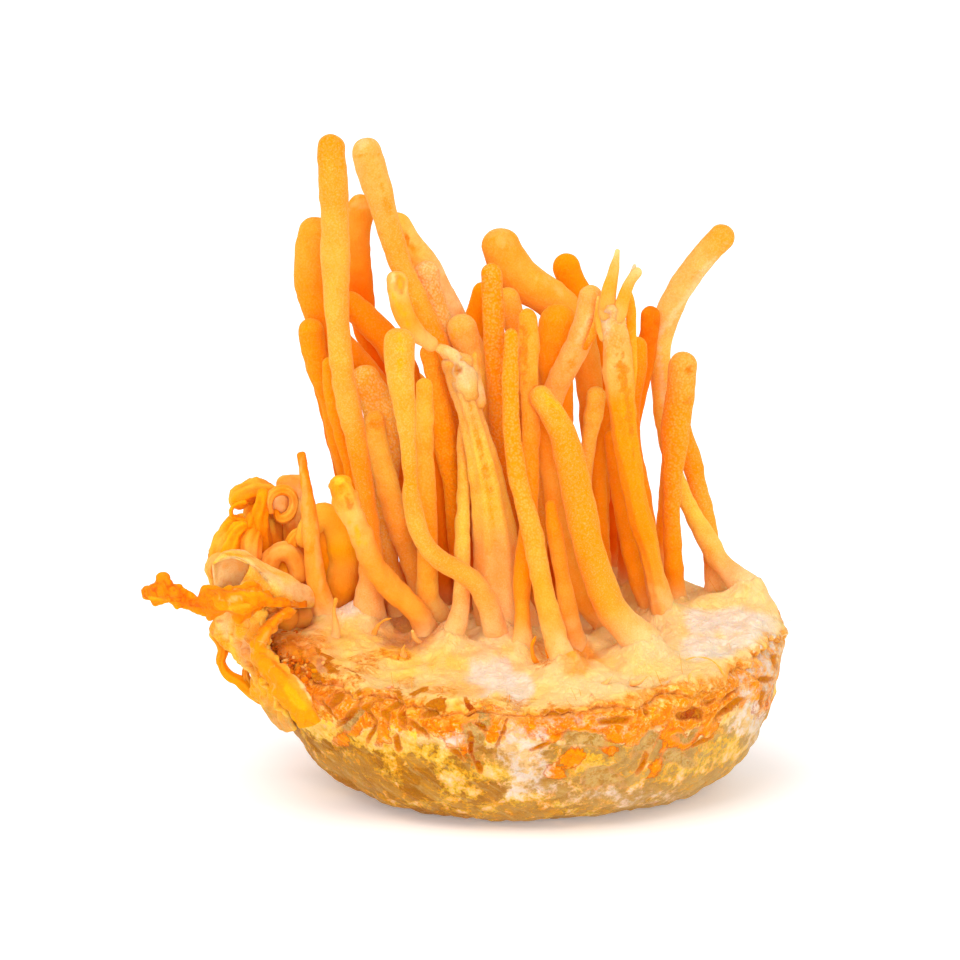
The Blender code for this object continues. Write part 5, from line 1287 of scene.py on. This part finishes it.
frills = {
    # rows are a sheet's control points: pixel x and y, and depth. ragged tears its edges, ruffle is how far it
    # waves and size how wide the waves are, lines is how strongly rust lines mark it, and pleats are how many it
    # has and how deep
    "hood": {
        "rows": (((320, 601, 1), (290, 592, 2), (262, 590, 3), (240, 592, 2), (223, 590, 1), (214, 584, 0)),
            ((320, 597, 1), (292, 578, -4), (266, 567, -4), (242, 554, -4), (224, 556, -4), (213, 567, -4)),
            ((320, 598, 0), (292, 581, -7), (268, 571, -8), (250, 558, -8), (230, 553, -8), (214, 563, -7)),
            ((320, 600, 0), (290, 590, -9), (270, 580, -11), (258, 569, -11), (247, 561, -10), (232, 557, -9)),
            ((320, 603, 0), (287, 599, -9.5), (274, 592, -10.8), (266, 583, -10.8), (258, 574, -10.6),
             (249, 565, -10.2)),
            ((320, 605, 0), (284, 604, -8), (268, 600, -9.2), (258, 595, -9.6), (250, 588, -9.8), (244, 578, -9.8)),
            ((320, 606, 1), (280, 607, -7), (262, 604, -8), (252, 600, -8.5), (244, 595, -8.6), (238, 588, -8.8))),
        "thickness": 0.35, "tints": "cream cream honey cream honey honey cream", "ragged": 0.2, "ruffle": 0.22,
        "size": 2.2, "fleck": 0.2, "lines": 0.25, "slot": "stem_pale", "node": "frill_hood",
        # the cream and blush ovals at its left end colour the inside of the cup; the blush is painted shade
        "spots": ((231, 574, 18, 13, 10, "cream"), (228, 580, 10, 4, 0, "blush"), (300, 592, 18, 10, 15, "cream"),
            (246, 573, 1.8, 13, 25, "orange"), (238, 556, 24, 1.5, 8, "orange"), (252, 592, 12, 2, 40, "orange"))},
    "blade": {
        "rows": (
            ((142, 591, -14), (149, 583, -14), (158, 581, -14), (165, 575, -14), (173, 582, -14), (181, 586, -13.5),
             (185, 592, -13), (196, 590, -13), (216, 588, -13), (236, 588, -12.6), (252, 589, -12), (270, 597, -10),
             (306, 601, -5)),
            ((142, 592, -14.6), (149, 588, -15.3), (158, 587, -15.6), (165, 584, -15.4), (173, 588, -15.2),
             (180, 592, -14.6), (185, 599, -14), (196, 598, -15), (214, 597, -15.8), (234, 597, -15), (252, 596, -14),
             (272, 600, -11), (306, 603, -5)),
            ((142.5, 594, -14.6), (149, 596, -15.2), (158, 597, -15.4), (166, 597, -15.2), (174, 598, -15),
             (180, 599, -14.4), (185, 603, -14), (196, 605, -15), (212, 608, -15.6), (232, 609, -15),
             (250, 605, -13.8), (272, 602, -11), (306, 605, -5)),
            ((143.5, 597, -14), (150, 602, -14), (158, 605, -14), (166, 604, -14), (174, 604, -13.8),
             (180, 606, -13.4), (185, 609, -13), (196, 612, -13.6), (208, 621, -14), (224, 616, -13.4),
             (240, 621, -12.6), (268, 607, -10), (306, 607, -5))), "thickness": 0.4,
        "tints": "amber deep deep orange", "ragged": 0.2, "ruffle": 0.75, "size": 2, "fleck": 0.5, "lines": 0.9,
        "slot": "frill", "node": "frill_blade", "spots": ((222, 594, 14, 5, 0, "deep"),
            (244, 608, 12, 5, -10, "orange"), (268, 600, 22, 5, 10, "peach"), (182, 603, 2, 9, 10, "deep"),
            (156, 598, 9, 2, 10, "gold")), "worn": ((210, 597, 16, 5, 0), (226, 600, 12, 12, 0))},
    "bladeFold": {
        "rows": (
            ((206, 589, -14.6), (224, 590, -15.6), (244, 588, -15.4), (262, 592, -14), (284, 600, -11),
             (300, 602, -5.6)),
            ((206, 595, -16), (222, 598, -17.2), (242, 597, -17), (262, 599, -15.4), (284, 603, -11.6),
             (300, 604, -5.6)),
            ((208, 601, -15.6), (222, 608, -16.6), (242, 612, -16.2), (262, 607, -15), (284, 606, -11.4),
             (300, 606, -5.6))), "thickness": 0.35, "tints": "deep amber orange", "ragged": 0.15, "ruffle": 0.5,
        "size": 1.8, "fleck": 0.4, "lines": 0.6, "slot": "frill",
        "spots": ((222, 593, 10, 5, 0, "deep"), (250, 594, 16, 3, 0, "gold"), (240, 606, 12, 4, -10, "lemon")),
        "worn": ((222, 596, 10, 8, 0),)},
    "pleats": {
        "rows": (((213, 588, 1), (212, 612, 1), (222, 642, 1), (243, 656, 0), (252, 676, -1), (263, 706, 0)),
            ((224, 590, -1), (226, 612, -1.5), (234, 640, -1.5), (248, 658, -2.5), (257, 678, -4), (270, 717, -3)),
            ((236, 592, -3), (239, 615, -4), (245, 640, -5), (254, 660, -7), (262, 682, -8), (278, 726, -6)),
            ((250, 596, -5), (252, 618, -7), (256, 642, -9), (261, 664, -10.5), (268, 686, -12), (286, 731, -10)),
            ((266, 600, -7), (266, 622, -9), (268, 645, -11.5), (270, 668, -13.6), (277, 690, -14.6),
             (296, 730, -14))), "thickness": 0.5, "tints": "apricot honey peach apricot honey", "ragged": 0.9,
        "ruffle": 1, "size": 2.4, "fleck": 0.5, "lines": 0.7, "slot": "stem_pale", "pleats": (4, 0.6),
        "spots": ((246, 650, 10, 30, -20, "blush"), (226, 620, 8, 20, 0, "cream"), (240, 628, 7, 18, -15, "gold"),
            (222, 644, 10, 7, 40, "orange"), (256, 668, 8, 16, -30, "orange"), (262, 690, 14, 14, 0, "gold"),
            (284, 724, 14, 10, 0, "straw"), (270, 712, 8, 12, -30, "tan"))},
    "hanging": {
        "rows": (
            ((296, 610, -11), (281, 624, -12.6), (268, 638, -14.6), (265, 648, -16.4), (280, 662, -20),
             (297, 677, -23.4), (309, 695, -26), (316, 711, -27.4), (320, 721, -27.8)),
            ((293, 609, -12.2), (277, 621, -14), (264, 638, -16), (260, 650, -18), (272, 665, -21.4),
             (286, 681, -24.2), (299, 698, -26.8), (310, 713, -28.2), (318, 723, -28.4)),
            ((289, 608, -12.2), (272, 621, -14), (260, 638, -16), (256, 651, -18), (264, 667, -20.6),
             (276, 685, -23.4), (290, 702, -26), (303, 717, -27.8), (313, 725, -28)),
            ((285, 608, -11), (266, 625, -13), (256, 640, -14.8), (252, 651, -16.6), (258, 667, -18.6),
             (268, 686, -21.4), (281, 703, -24), (295, 719, -26.4), (300, 728, -27))), "thickness": 0.45,
        "tints": "apricot orange amber orange", "ragged": 0.15, "ruffle": 0.5, "size": 2, "fleck": 0.4, "lines": 0.45,
        "slot": "frill", "node": "frill_hanging", "spots": ((284, 617, 14, 7, -45, "orange"),
            (262, 652, 6, 7, 0, "amber"), (296, 698, 6, 20, -38, "gold"), (306, 692, 3, 30, -35, "cream"),
            (264, 638, 2, 12, 30, "peach"), (278, 668, 2, 16, -45, "deep")), "worn": ((262, 676, 5, 12, -30),)},
}


def smoothGrid(control, acrossCount, alongCount):
    # Catmull-Rom along each control row and then across the rows
    spots = seenPoint(control[..., 0], control[..., 1], control[..., 2])
    rows, columns = spots.shape[:2]
    run = smoothPath(spots.transpose(1, 0, 2).reshape(columns, rows * 3), alongCount)
    run = run.reshape(-1, rows, 3).transpose(1, 0, 2)
    wide = run.shape[1]
    return smoothPath(run.reshape(rows, wide * 3), acrossCount).reshape(-1, wide, 3)


def veins(folds, points, size, seed, width, low, high):
    # 1 on the lines where a noise passes through 0, in the places where a broader noise is above low
    return ease(width, 0.0, np.abs(noise(folds, size, seed, 2))) * ease(low, high, noise(points, 4.0, seed + 1))


def frillPiece(name, spec, seed):
    # a sheet over its control rows, ruffled by noise along its normal, with Solidify for its wall
    acrossCount, alongCount = 9, 14
    points = smoothGrid(np.array(spec["rows"], float), acrossCount, alongCount)
    rows, columns = points.shape[:2]
    across = np.linspace(0, 1, rows)[:, None] + 0 * points[..., 0]
    along = np.linspace(0, 1, columns)
    normals = gridNormals(points, around=False)
    # most at both side edges, and calm at both ends
    ragged = np.abs(2 * across - 1) ** 3
    calm = ease(-0.02, 0.12, along) * ease(1.02, 0.88, along)
    wave = spec["ruffle"] * (noise(points, spec["size"], seed, 3) + 0.8 * ragged * noise(points, 1.2, seed + 1))
    count, deep = spec.get("pleats", (0.0, 0.0))
    wave = wave + deep * np.sin(2 * math.pi * count * across + 1.5 * noise(points, 6.0, seed + 5))
    edgeWay = unit(np.gradient(points, axis=0)) * np.sign(across - 0.5)[..., None]
    torn = spec["ragged"] * ragged * noise(points, 1.3, seed + 2, 2)
    points = points + (calm * wave)[..., None] * normals + (calm * torn)[..., None] * edgeWay
    facing = np.abs(normals @ towardsCamera)
    tint = tintAlong(spec["tints"], across, points, seed + 3, 0.08, 2.5)
    waver = 0.25 * noise(points, 1.4, seed + 4, 2)
    for *spot, tintName in spec["spots"]:
        tint = paint(tint, 0.85 * blot(points, facing, spot, waver), tintName)
    folds = points * np.array([0.5, 1.0, 1.0])
    lines = veins(folds, points, 1.5, seed + 6, 0.14, -0.3, 0.3)
    glints = veins(folds, points, 1.7, seed + 8, 0.1, 0.1, 0.5)
    # orange in the troughs of the waves is painted shade, and the cream glints are painted highlights
    for mask, tintName in ((0.5 * ease(0.0, -0.7, wave / (spec["ruffle"] + deep)), "orange"),
                           (spec["lines"] * lines, "rust"), (0.4 * glints, "cream")):
        tint = paint(tint, mask, tintName)
    worn = marks(points, facing, spec.get("worn", ()), waver)
    surface = fleshGrid(points, tint, spec["fleck"], worn=worn, around=False, poles=False)
    nodes = [spec["node"]] if "node" in spec else []
    name = "frill" + name[0].upper() + name[1:]
    piece = makePiece(name, [surface], flesh[spec["slot"]], spec["slot"], *nodes)
    wall = piece.modifiers.new("wall", "SOLIDIFY")
    wall.thickness = spec["thickness"] * mm
    wall.offset = 0.0
    return piece


for number, (name, spec) in enumerate(frills.items()):
    frillPiece(name, spec, 1200 + 9 * number)
print("left side grown")


# Strands, hairs and crumbs on the felt
fringe = {
    # how many hairs and crumbs, their lengths, thicknesses and sizes in millimetres, and the oval of pixels
    # that holds the crumbs
    "rimHairs": 110, "footHairs": 90, "long": (0.7, 2.2), "thick": (0.06, 0.13), "crumbs": 110,
    "crumbSize": (0.08, 0.26), "tints": "peach cream apricot orange amber",
    "crumbTints": "rust deep orange rust peach", "crumbPlace": (292, 655, 34, 36),
    # each strand's middle line in the front view from tip to foot, thicknesses in millimetres, tints, and how
    # far in front it stands
    "strands": (
        (((336, 598), (334, 612), (336, 628), (335, 643)), (0.4, 0.7, 1.1, 1.5), "apricot peach cream", 0.4),
        (((686, 660), (696, 657), (709, 659), (719, 667), (725, 680)), (0.12, 0.26, 0.3), "peach apricot", 0.5),
        (((700, 670), (692, 672), (689, 680), (692, 688)), (0.15, 0.3, 0.4), "cream apricot", 0.5),
        (((536, 636), (532, 646), (534, 658), (540, 668)), (0.2, 0.5, 0.9), "orange apricot", 0.5),
        (((545, 640), (547, 652), (552, 664), (560, 672)), (0.15, 0.4, 0.8), "deep orange", 0.5),
        (((563, 656), (556, 660), (549, 665), (544, 674)), (0.15, 0.4, 0.7), "peach orange", 0.6),
        (((392, 618), (384, 621), (376, 628), (372, 640)), (0.2, 0.5, 1.2), "apricot peach", 0.4),
        (((412, 630), (415, 638), (423, 645), (434, 652)), (0.5, 0.8, 1), "peach blush", 0.4),
        (((405, 645), (403, 650), (404, 660)), (0.15, 0.5, 1.4), "apricot cream", 0.3),
        (((612, 676), (605, 684), (597, 688)), (0.2, 0.7, 1.6), "cream peach", 0.5),
        (((648, 676), (640, 682), (630, 684)), (0.2, 0.6, 1.4), "peach cream", 0.4)),
}


def skinPlaceSeen(pixelX, pixelY):
    # the point of the cake's skin that shows at a pixel: of the grid's points near it, the foremost
    lengths = np.linspace(16.0, outlineLengths[-1] - 1.0, 260)
    turned, up = np.meshgrid(np.linspace(0.0, 2 * math.pi, 721), lengths)
    places = cakePoints(turned, up, cake["feltThickness"])
    gridX, gridY = seenPixel(places)
    away = np.hypot(gridX - pixelX, gridY - pixelY)
    near = away < max(2.5, away.min() + 0.1)
    return places.reshape(-1, 3)[np.where(near, places[..., 1], np.inf).argmin()]


def strandSurface(strand, seed):
    # a lumpy tube along a strand's line, from in front of the skin to just behind it
    seen, thick, tints, ahead = strand
    depth = float(skinPlaceSeen(*seen[-1])[1])
    tube = carriedTube(seenPath(seen, (depth - ahead - 0.6, depth + 1.2)), thick, spacing=0.3, sides=12)
    points = tube["points"] + (0.12 * noise(tube["points"], 1.0, seed, 2))[..., None] * tube["ring"]
    return fleshGrid(points, tintAlong(tints, tube["share"], points, seed), 0.3)


def hairSurface(start, way, length, thick, bend, tint):
    # a thin tube whose middle line is start + way t + bend t^2, with t from 0 to the length
    t = np.linspace(0.0, 1.0, 7)[:, None]
    path = start + length * (way * t + bend * t * t)
    tube = carriedTube(path[::-1], (thick * 0.5, thick), spacing=length / 5, sides=4)
    return fleshGrid(tube["points"], np.ones(tube["points"].shape) * colours[tint])


def crumbSurface(place, size, stretch, tint, seed):
    # a small lumpy ball: rings of radius sin and height cos, stretched
    tilt = np.linspace(0.35, math.pi - 0.35, 5)[:, None]
    turn = np.linspace(0.0, 2 * math.pi, 7, endpoint=False)[None]
    ball = np.stack([np.sin(tilt) * np.cos(turn), np.sin(tilt) * np.sin(turn), np.cos(tilt) + 0 * turn], -1)
    points = place + size * stretch * ball * (1.0 + 0.3 * noise(ball + seed, 0.9, seed))[..., None]
    return fleshGrid(points, np.ones(points.shape) * colours[tint])


def fringePiece():
    # hairs strewn over the felt's edge and round the feet, crumbs strewn over an oval of the front view
    random = np.random.default_rng(11)
    surfaces = [strandSurface(strand, 1500 + number) for number, strand in enumerate(fringe["strands"])]
    tintNames, crumbNames = fringe["tints"].split(), fringe["crumbTints"].split()
    turned = random.uniform(0.0, 2 * math.pi, fringe["rimHairs"])
    up = edgeLengths(turned) + random.uniform(0.2, 4.5, len(turned))
    rimStarts = cakePoints(turned, up, cake["feltThickness"] * 0.4)
    rimWays = unit(cakePoints(turned, up, 1.0) - cakePoints(turned, up))
    rimWays = rimWays + random.normal(0, 0.5, (len(turned), 3))
    chosen = random.integers(0, len(feet), fringe["footHairs"])
    around = random.uniform(0, 2 * math.pi, len(chosen))
    middleX, middleY, radius = np.array(feet)[chosen, :3].T
    footX = middleX + (radius + 0.7) * np.cos(around)
    footY = middleY + (radius + 0.7) * np.sin(around)
    footStarts = np.stack([footX, footY, crustTop(footX, footY) + 0.3], axis=-1)
    footWays = np.stack([0.6 * np.cos(around), 0.6 * np.sin(around), 1.0 + 0 * around], axis=-1)
    starts = np.vstack([rimStarts, footStarts])
    ways = unit(np.vstack([rimWays, footWays + random.normal(0, 0.25, footWays.shape)]))
    lengths = random.uniform(*fringe["long"], len(starts))
    thicks = random.uniform(*fringe["thick"], len(starts))
    bends = random.normal(0, 0.4, (len(starts), 3))
    names = random.choice(tintNames, len(starts))
    surfaces += [hairSurface(*hair) for hair in zip(starts, ways, lengths, thicks, bends, names)]
    x, y, wide, high = fringe["crumbPlace"]
    for number in range(fringe["crumbs"]):
        pixelX, pixelY = x + wide * random.normal(0, 0.4), y + high * random.normal(0, 0.4)
        surfaces.append(crumbSurface(skinPlaceSeen(pixelX, pixelY) + random.normal(0, 0.2, 3),
                                     random.uniform(*fringe["crumbSize"]), random.uniform(0.3, 2.8, 3),
                                     random.choice(crumbNames), 1600 + number))
    return makePiece("feltFringe", surfaces, flesh["frill"], "frill")


fringePiece()
print("fringe laid")


# The stage: a pale floor, soft studio light and the camera of the front view
stageLook = {"floorSide": 16.0, "floor": (0.97, 0.97, 0.97), "floorRough": 0.9, "glow": 0.2, "sky": 0.75,
             "lens": 157.5, "sensor": 36.0, "clip": (0.01, 50.0),
             # name, where it shines from, strength, and how many degrees of sky it fills
             "lights": (("key", (-0.3, -0.5, 1.0), 1.3, 45.0), ("front", (0.1, -1.0, 0.22), 1.45, 25.0))}


def setStage():
    # the floor glows a little, the world is white, and the camera stands its distance from the aim
    white = (1.0, 1.0, 1.0, 1.0)
    scene = bpy.context.scene
    half = stageLook["floorSide"] / 2
    mesh = bpy.data.meshes.new("floor")
    corners = [(-half, -half, 0), (half, -half, 0), (half, half, 0), (-half, half, 0)]
    mesh.from_pydata(corners, [], [(0, 1, 2, 3)])
    floor = bpy.data.objects.new("floor", mesh)
    scene.collection.objects.link(floor)
    material = bpy.data.materials.new("paleFloor")
    material.use_nodes = True
    shader = material.node_tree.nodes["Principled BSDF"]
    shader.inputs["Base Color"].default_value = (*stageLook["floor"], 1.0)
    shader.inputs["Roughness"].default_value = stageLook["floorRough"]
    shader.inputs["Emission Color"].default_value = white
    shader.inputs["Emission Strength"].default_value = stageLook["glow"]
    mesh.materials.append(material)
    world = bpy.data.worlds.new("studio")
    world.use_nodes = True
    sky = world.node_tree.nodes["Background"]
    sky.inputs["Color"].default_value = white
    sky.inputs["Strength"].default_value = stageLook["sky"]
    scene.world = world
    aim = np.array([front["aimX"], 0.0, front["aimZ"]]) * mm
    for name, place, strength, spread in stageLook["lights"]:
        lamp = bpy.data.lights.new(name, "SUN")
        lamp.energy, lamp.angle = strength, math.radians(spread)
        light = bpy.data.objects.new(name, lamp)
        light.location = place
        light.rotation_mode = "QUATERNION"
        light.rotation_quaternion = light.location.to_track_quat("Z", "Y")
        scene.collection.objects.link(light)
    lens = bpy.data.cameras.new("frontCamera")
    lens.lens, lens.sensor_width = stageLook["lens"], stageLook["sensor"]
    lens.clip_start, lens.clip_end = stageLook["clip"]
    camera = bpy.data.objects.new("frontCamera", lens)
    camera.location = aim + towardsCamera * front["distance"] * mm
    camera.rotation_euler = (math.radians(90.0 - front["elevation"]), 0.0, 0.0)
    scene.collection.objects.link(camera)
    scene.camera = camera
    scene.view_settings.view_transform = "Standard"


setStage()
print("stage set; pieces and triangles:", made)
